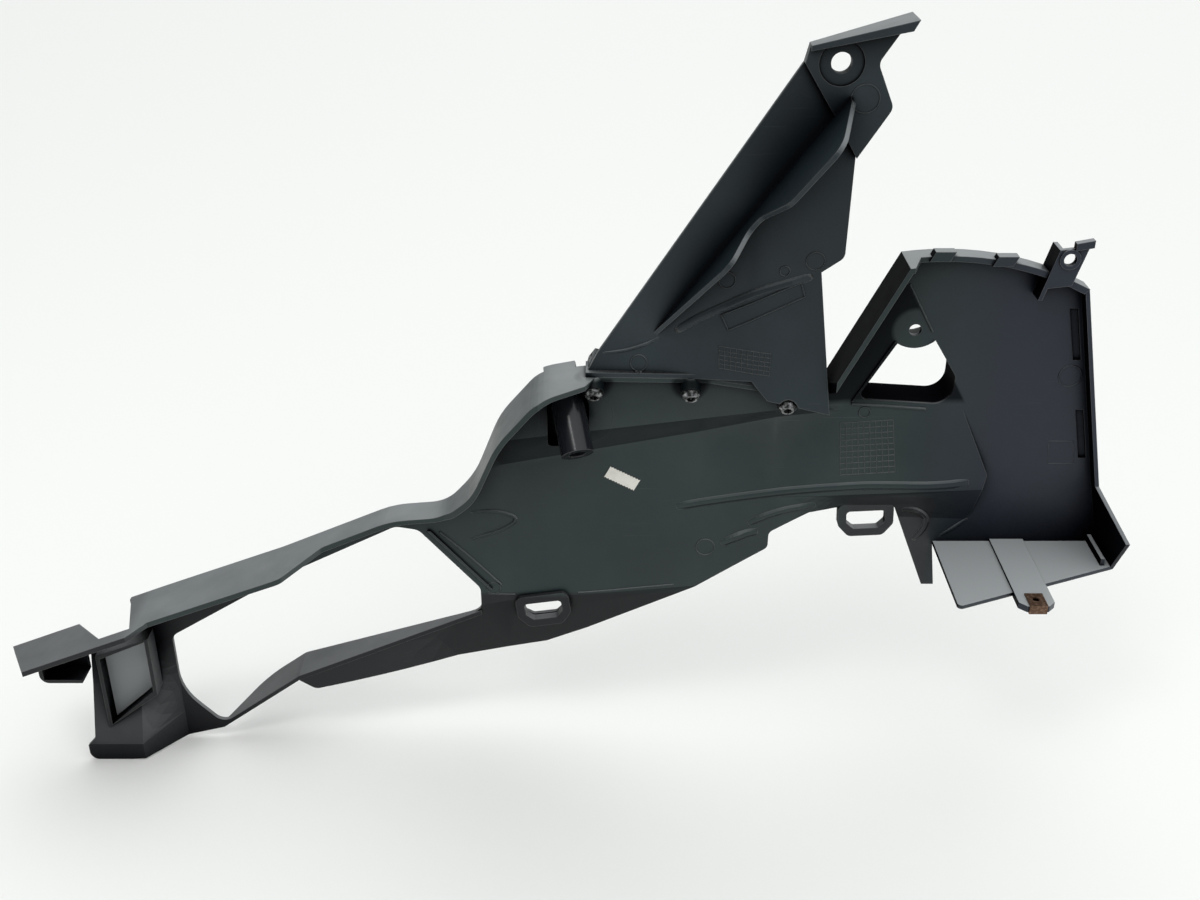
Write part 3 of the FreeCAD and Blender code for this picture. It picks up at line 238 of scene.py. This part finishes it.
# Rubbed edges, lighter: partly real wear and partly a painted highlight on the rims.
EDGE_RADIUS = 0.9
EDGE_SAMPLES = 6
EDGE_BAND = (0.97, 0.75)
EDGE_WEAR_AND_HIGHLIGHT = 0.6
EDGE_WEAR_AND_HIGHLIGHT_COLOUR = (0.22, 0.22, 0.22)
# Painted shade: how far the moulding looks for walls that shade a hollow, and for those that make a
# crevice.
HOLLOW_REACH = 60.0
CREVICE_REACH = 9.0
CREVICE_BAND = (0.2, 0.75)
SHADE_SAMPLES = 8
PAINTED_SHADE_COLOUR = (0.002, 0.002, 0.003)
# Sheen and fine relief.
PLASTIC_ROUGHNESS = 0.40
PLASTIC_SPECULAR = 0.41
SATIN = {"grain": 9.0, "detail": 4.0}
SATIN_SPREAD = 0.16
GRAIN = {"grain": 0.9, "detail": 2.0}
GRAIN_STRENGTH = 0.22
GRAIN_DEPTH = 0.12
WAVES = {"grain": 45.0, "detail": 1.0}
WAVES_STRENGTH = 0.25
WAVES_DEPTH = 0.5

# Steel: worn patches, uneven sheen and fine relief.
STEEL_METALLIC = 0.8
STEEL_WEAR = {"grain": 2.2, "detail": 5.0}
STEEL_WEAR_BAND = (0.45, 0.65)
STEEL_SHEEN = {"grain": 0.8, "detail": 3.0}
STEEL_SHEEN_SPREAD = 0.25
STEEL_SHEEN_LOSS = 0.1
STEEL_RELIEF = {"grain": 0.5, "detail": 3.0}
STEEL_STRENGTH = 0.2
STEEL_DEPTH = 0.1

# Paper of the patch: off-white with dirt.
PAPER_COLOUR = (0.82, 0.80, 0.74)
PAPER_DIRT_COLOUR = (0.55, 0.52, 0.46)
PAPER_DIRT = {"grain": 5.0, "detail": 5.0}
PAPER_DIRT_BAND = (0.5, 0.75)
PAPER_DIRT_SHARE = 0.4
PAPER_ROUGHNESS = 0.75
PAPER_RELIEF = {"grain": 1.0, "detail": 3.0}
PAPER_STRENGTH = 0.3
PAPER_DEPTH = 0.1


def colour(red, green, blue):
    return (red, green, blue, 1.0)


def metres(lengths):
    return [length * MM for length in lengths]


class Nodes:
    """A node tree, with short calls to add and join nodes."""

    def __init__(self, owner, shader):
        owner.use_nodes = True
        self.tree = owner.node_tree
        self.shader = self.tree.nodes[shader]

    def add(self, kind, settings=None, **inputs):
        node = self.tree.nodes.new(f"ShaderNode{kind}")
        for key, value in (settings or {}).items():
            setattr(node, key, value)
        for key, value in inputs.items():
            self.feed(node.inputs[key], value)
        return node

    def feed(self, socket, value):
        if isinstance(value, bpy.types.NodeSocket):
            self.tree.links.new(value, socket)
        else:
            socket.default_value = value

    def math(self, operation, a, b=0.0, c=0.0):
        node = self.add("Math", {"operation": operation})
        for socket, value in zip(node.inputs, (a, b, c)):
            self.feed(socket, value)
        return node.outputs[0]

    def chain(self, operation, values):
        """Values joined one after the other by an operation."""
        result = values[0]
        for value in values[1:]:
            result = self.math(operation, result, value)
        return result

    def times(self, *values):
        return self.chain("MULTIPLY", values)

    def total(self, *values):
        return self.chain("ADD", values)

    def most(self, *values):
        return self.chain("MAXIMUM", values)

    def vector(self, operation, a, b, output="Value"):
        node = self.add("VectorMath", {"operation": operation})
        self.feed(node.inputs[0], a)
        self.feed(node.inputs[1], b)
        return node.outputs[output]

    def mix(self, share, a, b):
        node = self.add("Mix", {"data_type": "RGBA"})
        self.feed(node.inputs["Factor"], share)
        self.feed(node.inputs["A"], a)
        self.feed(node.inputs["B"], b)
        return node.outputs["Result"]

    def band(self, value, low, high):
        """0 at low, 1 at high, clamped."""
        node = self.add("MapRange", {"clamp": True})
        self.feed(node.inputs["Value"], value)
        self.feed(node.inputs["From Min"], low)
        self.feed(node.inputs["From Max"], high)
        return node.outputs["Result"]

    def noise(self, grain, detail, stretch=(1.0, 1.0, 1.0), turn=(0.0, 0.0, 0.0)):
        """Noise with lumps about grain mm across, drawn out by stretch."""
        place = self.add("TexCoord").outputs["Object"]
        mapping = self.add("Mapping", Vector=place, Rotation=[math.radians(angle) for angle in turn])
        mapping.inputs["Scale"].default_value = [1.0 / (grain * MM * part) for part in stretch]
        node = self.add("TexNoise", Vector=mapping.outputs["Vector"], Scale=1.0, Detail=detail)
        return node.outputs["Fac"]

    def bump(self, relief, strength, depth, **normal):
        """A normal that follows a noise."""
        height = self.noise(**relief)
        node = self.add("Bump", Strength=strength, Distance=depth * MM, Height=height, **normal)
        return node.outputs["Normal"]


class Plastic(Nodes):
    """A plastic's nodes: where a point lies, which way its face looks, and the places these two mark."""

    def __init__(self, material):
        super().__init__(material, "Principled BSDF")
        self.place = self.add("TexCoord").outputs["Object"]
        self.where = self.add("SeparateXYZ", Vector=self.place).outputs
        self.normal = self.add("NewGeometry").outputs["True Normal"]
        self.facing = self.add("SeparateXYZ", Vector=self.normal).outputs

    def span(self, axis, start, end):
        """0 at start and 1 at end along an axis."""
        return self.band(self.where[axis], start * MM, end * MM)

    def turn(self, axis, start, end):
        """0 to 1 as the face's normal goes from start to end along an axis."""
        return self.band(self.facing[axis], start, end)

    def near(self, middle, reach):
        away = self.vector("DISTANCE", self.place, metres(middle))
        return self.band(away, reach * MM, NEAR_CORE * reach * MM)

    def openness(self, reach):
        """The share of the view that no wall within reach takes."""
        return self.add("AmbientOcclusion", {"samples": SHADE_SAMPLES}, Distance=reach * MM).outputs["AO"]

    def boss(self):
        return self.times(self.span("Y", BOSS_FOOT, BOSS_FOOT - BOSS_BLEND),
                          self.near(BOSS_MIDDLE, BOSS_PROUD_REACH))

    def skirt(self):
        return self.span("Z", SKIRT_TOP, SKIRT_TOP - SKIRT_BLEND)

    def foot(self):
        left, top = FOOT_CORNER
        return self.times(self.span("X", left, left + FOOT_BLEND), self.span("Z", top, top - FOOT_BLEND),
                          self.span("X", FOOT_RIGHT + FOOT_BLEND, FOOT_RIGHT))

    def tray(self):
        return self.times(self.span("Z", TRAY_LEVEL + TRAY_BLEND, TRAY_LEVEL), self.turn("Z", *TRAY_TURN),
                          self.span("X", TRAY_LEFT, TRAY_LEFT + TRAY_BLEND))

    def pocket(self):
        depth = POCKET_MIDDLE[1]
        start, full = POCKET_SLACK
        return self.times(self.near(POCKET_MIDDLE, POCKET_REACH), self.turn("Y", *POCKET_TURN),
                          self.span("Y", depth - start, depth - full),
                          self.span("Y", depth + start, depth + full))

    def pads(self):
        return self.times(self.most(*[self.near(pad, PAD_REACH) for pad in PAD_PLACES]),
                          self.span("Z", PAD_TOP, PAD_TOP - PAD_BLEND))

    def sight(self):
        """The inner faces of the tube, which look towards its middle."""
        inwards = self.vector("SUBTRACT", metres(SIGHT_MIDDLE), self.place, "Vector")
        inside = self.vector("DOT_PRODUCT", inwards, self.normal)
        return self.times(self.near(SIGHT_MIDDLE, SIGHT_REACH), self.span("Y", *SIGHT_FRONT),
                          self.band(inside, 0.0, SIGHT_INSIDE * MM))

    def ground(self):
        across = self.vector("DOT_PRODUCT", self.place, GROUND_LINE)
        ground = self.times(self.band(across, -GROUND_OFFSET * MM, (GROUND_BLEND - GROUND_OFFSET) * MM),
                            self.span("X", GROUND_LEFT, GROUND_LEFT + GROUND_EDGE),
                            self.span("Y", *GROUND_FRONT),
                            self.span("Z", GROUND_FOOT, GROUND_FOOT + GROUND_EDGE))
        return self.math("SUBTRACT", ground, self.near(TAB_MIDDLE, TAB_REACH))

    def left_walls(self):
        return self.times(self.turn("X", *LEFT_TURN), self.span("X", BEAM_LEFT, BEAM_LEFT + BEAM_BLEND))

    def scratches(self):
        return self.times(self.band(self.noise(**SCRATCH), *SCRATCH_BAND),
                          self.band(self.noise(**SCRATCH_ZONE), *SCRATCH_ZONE_BAND))


def moulded_plastic(name, dark, light, plate, dust_and_light, lean, shade, openness):
    """Black moulded plastic with flow marks, rubbed edges with a painted highlight, dust with painted
    light, painted shade in hollows and dim places, and glossy places.

    Dust and painted light take the upward faces, and by lean more of those that look right than of those
    that look left; painted light also lightens the tray and the pocket floor. Shade is the strength of the
    painted shade in the dim places, and openness the band in which walls near by paint shade into a hollow.
    """
    material = bpy.data.materials.new(name)
    nodes = Plastic(material)
    boss, skirt, tray, pocket = nodes.boss(), nodes.skirt(), nodes.tray(), nodes.pocket()
    pads, sight = nodes.pads(), nodes.sight()
    polish = nodes.near(BOSS_MIDDLE, BOSS_REACH)

    cloud = nodes.band(nodes.noise(**CLOUD), *CLOUD_BAND)
    tone = nodes.mix(cloud, colour(*dark), colour(*light))
    tone = nodes.mix(nodes.span("X", PLATE_START, PLATE_START + PLATE_BLEND), tone, colour(*plate))
    tone = nodes.mix(nodes.most(boss, skirt, nodes.foot()), tone, colour(*SKIRT_COLOUR))

    # Dust and painted light: upward faces, more so those that look right, take a blotchy light film that is
    # partly real dust and partly painted light; the tray and the pocket floor take painted light, and
    # scratches add real wear.
    blotch = nodes.band(nodes.noise(**BLOTCH), *BLOTCH_BAND)
    upward = nodes.band(nodes.math("MULTIPLY_ADD", nodes.facing["X"], lean, nodes.facing["Z"]), *DUST_AND_LIGHT_TURN)
    upward = nodes.most(nodes.math("SUBTRACT", upward, sight), 0.0)
    dust_wear_and_light = nodes.total(nodes.times(upward, blotch, dust_and_light), nodes.times(nodes.scratches(), SCRATCH_FILM),
                       nodes.times(tray, blotch, TRAY_LIGHT))
    dust_wear_and_light = nodes.times(dust_wear_and_light, nodes.math("SUBTRACT", 1.0, nodes.most(pads, polish)))
    dust_wear_and_light = nodes.total(dust_wear_and_light, nodes.times(pocket, POCKET_LIGHT))
    tone = nodes.mix(dust_wear_and_light, tone, colour(*DUST_AND_LIGHT_COLOUR))

    # Rubbed edges are lighter: partly real wear and partly a painted highlight on the rims.
    bevel = nodes.add("Bevel", {"samples": EDGE_SAMPLES}, Radius=EDGE_RADIUS * MM).outputs["Normal"]
    rubbed_and_highlit = nodes.band(nodes.vector("DOT_PRODUCT", bevel, nodes.normal), *EDGE_BAND)
    tone = nodes.mix(nodes.times(rubbed_and_highlit, EDGE_WEAR_AND_HIGHLIGHT), tone, colour(*EDGE_WEAR_AND_HIGHLIGHT_COLOUR))

    # Painted shade: hollows and crevices darken towards a near-black colour and lose their reflection; the
    # tray, the pocket floor and the boss's proud part are kept clear of the hollow shade.
    crevice = nodes.band(nodes.openness(CREVICE_REACH), *CREVICE_BAND)
    lit = nodes.times(nodes.band(nodes.openness(HOLLOW_REACH), *openness), crevice)
    lit = nodes.most(lit, tray, pocket, nodes.times(boss, crevice))
    # Painted shade at the dim places: left-facing walls, the tube's inside, faces that lean down, the screw
    # pads, the ground round the window and the skirt.
    dim = nodes.most(nodes.times(nodes.left_walls(), LEFT_DIM), nodes.times(sight, SIGHT_DIM),
                     nodes.times(nodes.turn("Z", *DOWN_TURN), DOWN_DIM), nodes.times(pads, PAD_DIM),
                     nodes.times(nodes.ground(), GROUND_DIM), nodes.times(skirt, SKIRT_DIM))
    lit = nodes.times(lit, nodes.math("MULTIPLY_ADD", dim, -shade, 1.0))
    nodes.feed(nodes.shader.inputs["Base Color"], nodes.mix(lit, colour(*PAINTED_SHADE_COLOUR), tone))
    nodes.feed(nodes.shader.inputs["Specular IOR Level"], nodes.times(lit, PLASTIC_SPECULAR))

    smoothest = PLASTIC_ROUGHNESS - SATIN_SPREAD / 2.0
    satin = nodes.math("MULTIPLY_ADD", nodes.noise(**SATIN), SATIN_SPREAD, smoothest)
    nodes.feed(nodes.shader.inputs["Roughness"], nodes.math("MULTIPLY_ADD", polish, -BOSS_POLISH, satin))
    grain = nodes.bump(GRAIN, GRAIN_STRENGTH, GRAIN_DEPTH, Normal=bevel)
    nodes.feed(nodes.shader.inputs["Normal"], nodes.bump(WAVES, WAVES_STRENGTH, WAVES_DEPTH, Normal=grain))
    return material


def material_nodes(name):
    material = bpy.data.materials.new(name)
    return material, Nodes(material, "Principled BSDF")


def coated_steel(name, tint, worn, roughness):
    """Steel with a dark coat that is rubbed through in places."""
    material, nodes = material_nodes(name)
    wear = nodes.band(nodes.noise(**STEEL_WEAR), *STEEL_WEAR_BAND)
    nodes.feed(nodes.shader.inputs["Base Color"], nodes.mix(wear, colour(*tint), colour(*worn)))
    nodes.shader.inputs["Metallic"].default_value = STEEL_METALLIC
    smoothest = roughness - STEEL_SHEEN_LOSS
    sheen = nodes.math("MULTIPLY_ADD", nodes.noise(**STEEL_SHEEN), STEEL_SHEEN_SPREAD, smoothest)
    nodes.feed(nodes.shader.inputs["Roughness"], sheen)
    nodes.feed(nodes.shader.inputs["Normal"], nodes.bump(STEEL_RELIEF, STEEL_STRENGTH, STEEL_DEPTH))
    return material


def paper(name):
    """The patch: off-white, a little dirty."""
    material, nodes = material_nodes(name)
    dirt = nodes.band(nodes.noise(**PAPER_DIRT), *PAPER_DIRT_BAND)
    tone = nodes.mix(nodes.times(dirt, PAPER_DIRT_SHARE), colour(*PAPER_COLOUR), colour(*PAPER_DIRT_COLOUR))
    nodes.feed(nodes.shader.inputs["Base Color"], tone)
    nodes.shader.inputs["Roughness"].default_value = PAPER_ROUGHNESS
    nodes.feed(nodes.shader.inputs["Normal"], nodes.bump(PAPER_RELIEF, PAPER_STRENGTH, PAPER_DEPTH))
    return material


def smooth_group():
    """A modifier's node group that shades a mesh smooth, apart from its sharp edges."""
    group = bpy.data.node_groups.new("smooth_faces", "GeometryNodeTree")
    group.interface.new_socket("Geometry", in_out="INPUT", socket_type="NodeSocketGeometry")
    group.interface.new_socket("Geometry", in_out="OUTPUT", socket_type="NodeSocketGeometry")
    start = group.nodes.new("NodeGroupInput")
    end = group.nodes.new("NodeGroupOutput")
    merge = group.nodes.new("GeometryNodeMergeByDistance")
    merge.inputs["Distance"].default_value = MERGE_GAP
    faces = group.nodes.new("GeometryNodeSetShadeSmooth")
    edges = group.nodes.new("GeometryNodeSetShadeSmooth")
    edges.domain = "EDGE"
    angle = group.nodes.new("GeometryNodeInputMeshEdgeAngle")
    soft = group.nodes.new("FunctionNodeCompare")
    soft.operation = "LESS_THAN"
    soft.inputs["B"].default_value = math.radians(SHARP_ANGLE)
    for source, target in (
        (start.outputs["Geometry"], merge.inputs["Geometry"]),
        (merge.outputs["Geometry"], faces.inputs["Geometry"]),
        (faces.outputs["Geometry"], edges.inputs["Geometry"]),
        (angle.outputs["Unsigned Angle"], soft.inputs["A"]),
        (soft.outputs["Result"], edges.inputs["Shade Smooth"]),
        (edges.outputs["Geometry"], end.inputs["Geometry"]),
    ):
        group.links.new(source, target)
    return group


def dress(piece, material):
    """A piece takes a material of its own and smooth shading within its moulded faces."""
    piece.data.materials.clear()
    piece.data.materials.append(material)
    piece.modifiers.new("smooth_faces", "NODES").node_group = smooth_faces


def add_piece(name, vertices, faces, slot):
    """A new mesh in millimetres that belongs to the part and takes the finish of a slot."""
    mesh = bpy.data.meshes.new(name)
    mesh.from_pydata([Vector(vertex) * MM for vertex in vertices], [], faces)
    mesh.update()
    piece = bpy.data.objects.new(name, mesh)
    bpy.context.scene.collection.objects.link(piece)
    dress(piece, finishes[slot])
    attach(piece, "root")
    return piece


class Surface:
    """The inner face of a CAD node, found by rays from the viewer's side."""

    def __init__(self, node, slot, start):
        mesh = frame["nodes"][node].data
        corners = [vertex.co for vertex in mesh.vertices]
        self.tree = BVHTree.FromPolygons(corners, [face.vertices for face in mesh.polygons])
        self.slot = slot
        self.start = start

    def depth(self, x, z):
        hit = self.tree.ray_cast(Vector((x, self.start, z)) * MM, Vector((0.0, 1.0, 0.0)))
        return hit[0].y / MM

    def relief(self, name, routes, width, height, closed=False, taper=0):
        """Raised lines along routes of (x, z) points, with sloping flanks and ends that may run out."""
        vertices, faces = [], []
        for route in routes:
            points = [Vector(point) for point in route]
            rows = []
            for i, point in enumerate(points):
                before = points[i - 1] if closed or i else point
                after = points[(i + 1) % len(points)] if closed or i + 1 < len(points) else point
                side = (after - before).normalized().orthogonal() * width
                top = height
                if taper:
                    top *= min(1.0, i / taper, (len(points) - 1 - i) / taper)
                row = []
                for share, proud in (
                    (-FOOT_SHARE, -SINK), (-CREST_SHARE, top), (CREST_SHARE, top), (FOOT_SHARE, -SINK),
                ):
                    x, z = point + side * share
                    row.append(len(vertices))
                    vertices.append((x, self.depth(x, z) - proud, z))
                rows.append(row)
            pairs = list(zip(rows, rows[1:]))
            if closed:
                pairs.append((rows[-1], rows[0]))
            else:
                faces += [tuple(reversed(rows[0])), tuple(rows[-1])]
            for a, b in pairs:
                around = [(j, (j + 1) % len(a)) for j in range(len(a))]
                faces += [(a[j], a[k], b[k], b[j]) for j, k in around]
        return add_piece(name, vertices, faces, self.slot)


def ring(x, z, radius):
    turns = [2.0 * math.pi * i / RING_POINTS for i in range(RING_POINTS)]
    return [(x + radius * math.cos(turn), z + radius * math.sin(turn)) for turn in turns]


def straight(start, end):
    """Points along a line, close enough to follow the surface."""
    start, end = Vector(start), Vector(end)
    count = max(2, round((end - start).length / ROUTE_STEP))
    return [start.lerp(end, i / count) for i in range(count + 1)]


def polygon(corners):
    ends = list(corners[1:]) + [corners[0]]
    return [point for start, end in zip(corners, ends) for point in straight(start, end)[:-1]]


def bow(points):
    """A smooth curve (Catmull-Rom) through a few points."""
    points = [Vector(point) for point in points]
    points = [points[0]] + points + [points[-1]]
    route = []
    for p, q, r, s in zip(points, points[1:], points[2:], points[3:]):
        count = max(2, round((r - q).length / ROUTE_STEP))
        for i in range(count):
            t = i / count
            route.append(0.5 * (2.0 * q + (r - p) * t + (2.0 * p - 5.0 * q + 4.0 * r - s) * t ** 2
                                + (3.0 * q - p - 3.0 * r + s) * t ** 3))
    return route + [points[-1]]


def grid(corners, columns, rows):
    """The lines of a grid stretched over four corners."""
    a, b, c, d = (Vector(corner) for corner in corners)
    lines = [straight(a.lerp(b, i / columns), d.lerp(c, i / columns)) for i in range(columns + 1)]
    return lines + [straight(a.lerp(d, i / rows), b.lerp(c, i / rows)) for i in range(rows + 1)]


def panel_marks():
    panel = Surface("main_panel", "panel_plastic", PANEL_START)
    rings = [ring(*mark) for mark in PANEL_RINGS]
    panel.relief("panel_ejector_rings", rings, width=1.0, height=0.35, closed=True)
    panel.relief("plate_square", [polygon(PLATE_SQUARE)], width=0.8, height=0.15, closed=True)
    panel.relief("field_grid", grid(*FIELD_GRID), width=0.8, height=0.16)
    panel.relief("field_crease", [bow(FIELD_CREASE)], width=7.0, height=0.6, taper=RUN_OUT)
    creases = [bow(SKIRT_CREASE_LEFT), bow(SKIRT_CREASE_RIGHT)]
    panel.relief("skirt_creases", creases, width=1.4, height=0.4)
    panel.relief("notch_flute", [bow(NOTCH_FLUTE)], width=7.0, height=1.6, taper=RUN_OUT)
    panel.relief("notch_roll", [bow(NOTCH_ROLL)], width=6.0, height=1.0, taper=RUN_OUT)
    panel.relief("foot_rim", [bow(FOOT_RIM)], width=3.0, height=0.9, taper=RUN_OUT)
    panel.relief("foot_cup", [bow(FOOT_CUP)], width=5.0, height=1.1, taper=RUN_OUT)
    panel.relief("window_bulge", [bow(WINDOW_BULGE)], width=3.0, height=0.7, taper=RUN_OUT)
    panel.relief("window_groove", [bow(WINDOW_GROOVE)], width=1.6, height=0.8)
    panel.relief("sight_rims", [straight(*SIGHT_RIM), straight(*SIGHT_FOOT)], width=2.0, height=1.0)
    panel.relief("plate_rim", [straight(*PLATE_RIM)], width=1.6, height=0.6)


def arm_marks():
    arm = Surface("upper_arm", "arm_plastic", ARM_START)
    arm.relief("arm_ejector_rings", [ring(*mark) for mark in ARM_RINGS], width=1.0, height=0.3, closed=True)
    arm.relief("date_grid", grid(*DATE_GRID), width=0.7, height=0.25)
    arm.relief("apron_frame", [polygon(APRON_FRAME)], width=1.3, height=0.5, closed=True)
    arm.relief("apron_fold", [bow(APRON_FOLD)], width=6.0, height=0.8, taper=RUN_OUT)
    arm.relief("arm_crease", [bow(ARM_CREASE)], width=2.2, height=0.6, taper=RUN_OUT)


def torn_patch():
    """The blank patch, torn along its long sides."""
    low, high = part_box("tape_patch")
    middle = (low + high) / 2.0 / MM
    turn = math.radians(PATCH_TURN)
    along = Vector((math.cos(turn), 0.0, -math.sin(turn)))
    across = Vector((math.sin(turn), 0.0, math.cos(turn)))
    half = PATCH_WIDTH / 2.0
    shares = [i / (2 * PATCH_TEETH) - 0.5 for i in range(2 * PATCH_TEETH + 1)]
    top = [(share, half - PATCH_TOOTH * (i % 2)) for i, share in enumerate(shares)]
    outline = top + [(share, -rise) for share, rise in reversed(top)]
    flat = [middle + along * share * PATCH_LENGTH + across * rise for share, rise in outline]
    count = len(flat)
    vertices = [Vector((p.x, y / MM, p.z)) for y in (low.y, high.y) for p in flat]
    faces = [tuple(reversed(range(count))), tuple(range(count, 2 * count))]
    faces += [(i, (i + 1) % count, count + (i + 1) % count, count + i) for i in range(count)]
    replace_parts(add_piece("torn_patch", vertices, faces, "patch"), "tape_patch")


def set_sky():
    """Light from above and behind, as from a ceiling and a white wall, with less from the left."""
    world = bpy.data.worlds.new("studio")
    bpy.context.scene.world = world
    sky = Nodes(world, "Background")
    way = sky.add("SeparateXYZ", Vector=sky.add("TexCoord").outputs["Generated"]).outputs
    light = sky.math("MULTIPLY_ADD", sky.band(way["Z"], *SKY_CEILING_BAND), SKY_CEILING, SKY_BASE)
    light = sky.math("MULTIPLY_ADD", sky.band(way["Y"], *SKY_WALL_BAND), SKY_WALL, light)
    kept = sky.math("MULTIPLY_ADD", sky.band(way["X"], *SKY_LEFT_BAND), -SKY_LEFT_LOSS, 1.0)
    sky.feed(sky.shader.inputs["Strength"], sky.times(light, kept))
    sky.shader.inputs["Color"].default_value = colour(*SKY_TINT)


def set_stage():
    low = cad_box[0].z - FLOOR_GAP * MM
    bpy.ops.mesh.primitive_plane_add(size=FLOOR_SIDE, location=(0.0, 0.0, low))
    floor = bpy.context.object
    floor.name = "floor"
    paint, nodes = material_nodes("floor_paint")
    depth = nodes.add("SeparateXYZ", Vector=nodes.add("TexCoord").outputs["Object"]).outputs["Y"]
    fade = nodes.band(depth, *metres(FLOOR_FADE))
    tone = nodes.mix(fade, colour(*FLOOR_COLOUR), colour(*FLOOR_FRONT_COLOUR))
    nodes.feed(nodes.shader.inputs["Base Color"], tone)
    nodes.shader.inputs["Roughness"].default_value = FLOOR_ROUGHNESS
    floor.data.materials.append(paint)
    for name, place, aim, side, power in SOFT_BOXES:
        light = bpy.data.lights.new(name, "AREA")
        light.size = side
        light.energy = power
        lamp = bpy.data.objects.new(name, light)
        lamp.location = place
        lamp.rotation_euler = (Vector(aim) - Vector(place)).to_track_quat("-Z", "Y").to_euler()
        bpy.context.scene.collection.objects.link(lamp)


def set_camera():
    view = bpy.data.cameras.new("photo_camera")
    view.sensor_width = CAMERA_SENSOR
    view.lens = CAMERA_LENS
    view.clip_end = CAMERA_REACH
    camera = bpy.data.objects.new("photo_camera", view)
    camera.location = Vector(CAMERA_PLACE) * MM
    camera.rotation_euler = (math.radians(CAMERA_TILT), 0.0, 0.0)
    bpy.context.scene.collection.objects.link(camera)
    bpy.context.scene.camera = camera
    bpy.context.scene.view_settings.view_transform = "Standard"


smooth_faces = smooth_group()
finishes = {
    "panel_plastic": moulded_plastic(
        "panel_plastic", dark=(0.010, 0.021, 0.022), light=(0.015, 0.029, 0.030),
        plate=(0.012, 0.018, 0.031), dust_and_light=0.52, lean=0.4, shade=1.0, openness=(0.38, 0.88)),
    "arm_plastic": moulded_plastic(
        "arm_plastic", dark=(0.013, 0.021, 0.026), light=(0.019, 0.031, 0.037),
        plate=(0.011, 0.017, 0.022), dust_and_light=0.42, lean=0.8, shade=0.0, openness=(0.47, 0.95)),
    "black_screw": coated_steel(
        "black_screw", tint=(0.03, 0.03, 0.03), worn=(0.32, 0.32, 0.33), roughness=0.30),
    "spring_steel": coated_steel(
        "spring_steel", tint=(0.12, 0.07, 0.045), worn=(0.25, 0.16, 0.11), roughness=0.45),
    "patch": paper("patch"),
}
for subpart in frame["record"]["subparts"]:
    dress(frame["nodes"][subpart["node"]], finishes[subpart["material_slot"]])
panel_marks()
arm_marks()
torn_patch()
set_sky()
set_stage()
set_camera()
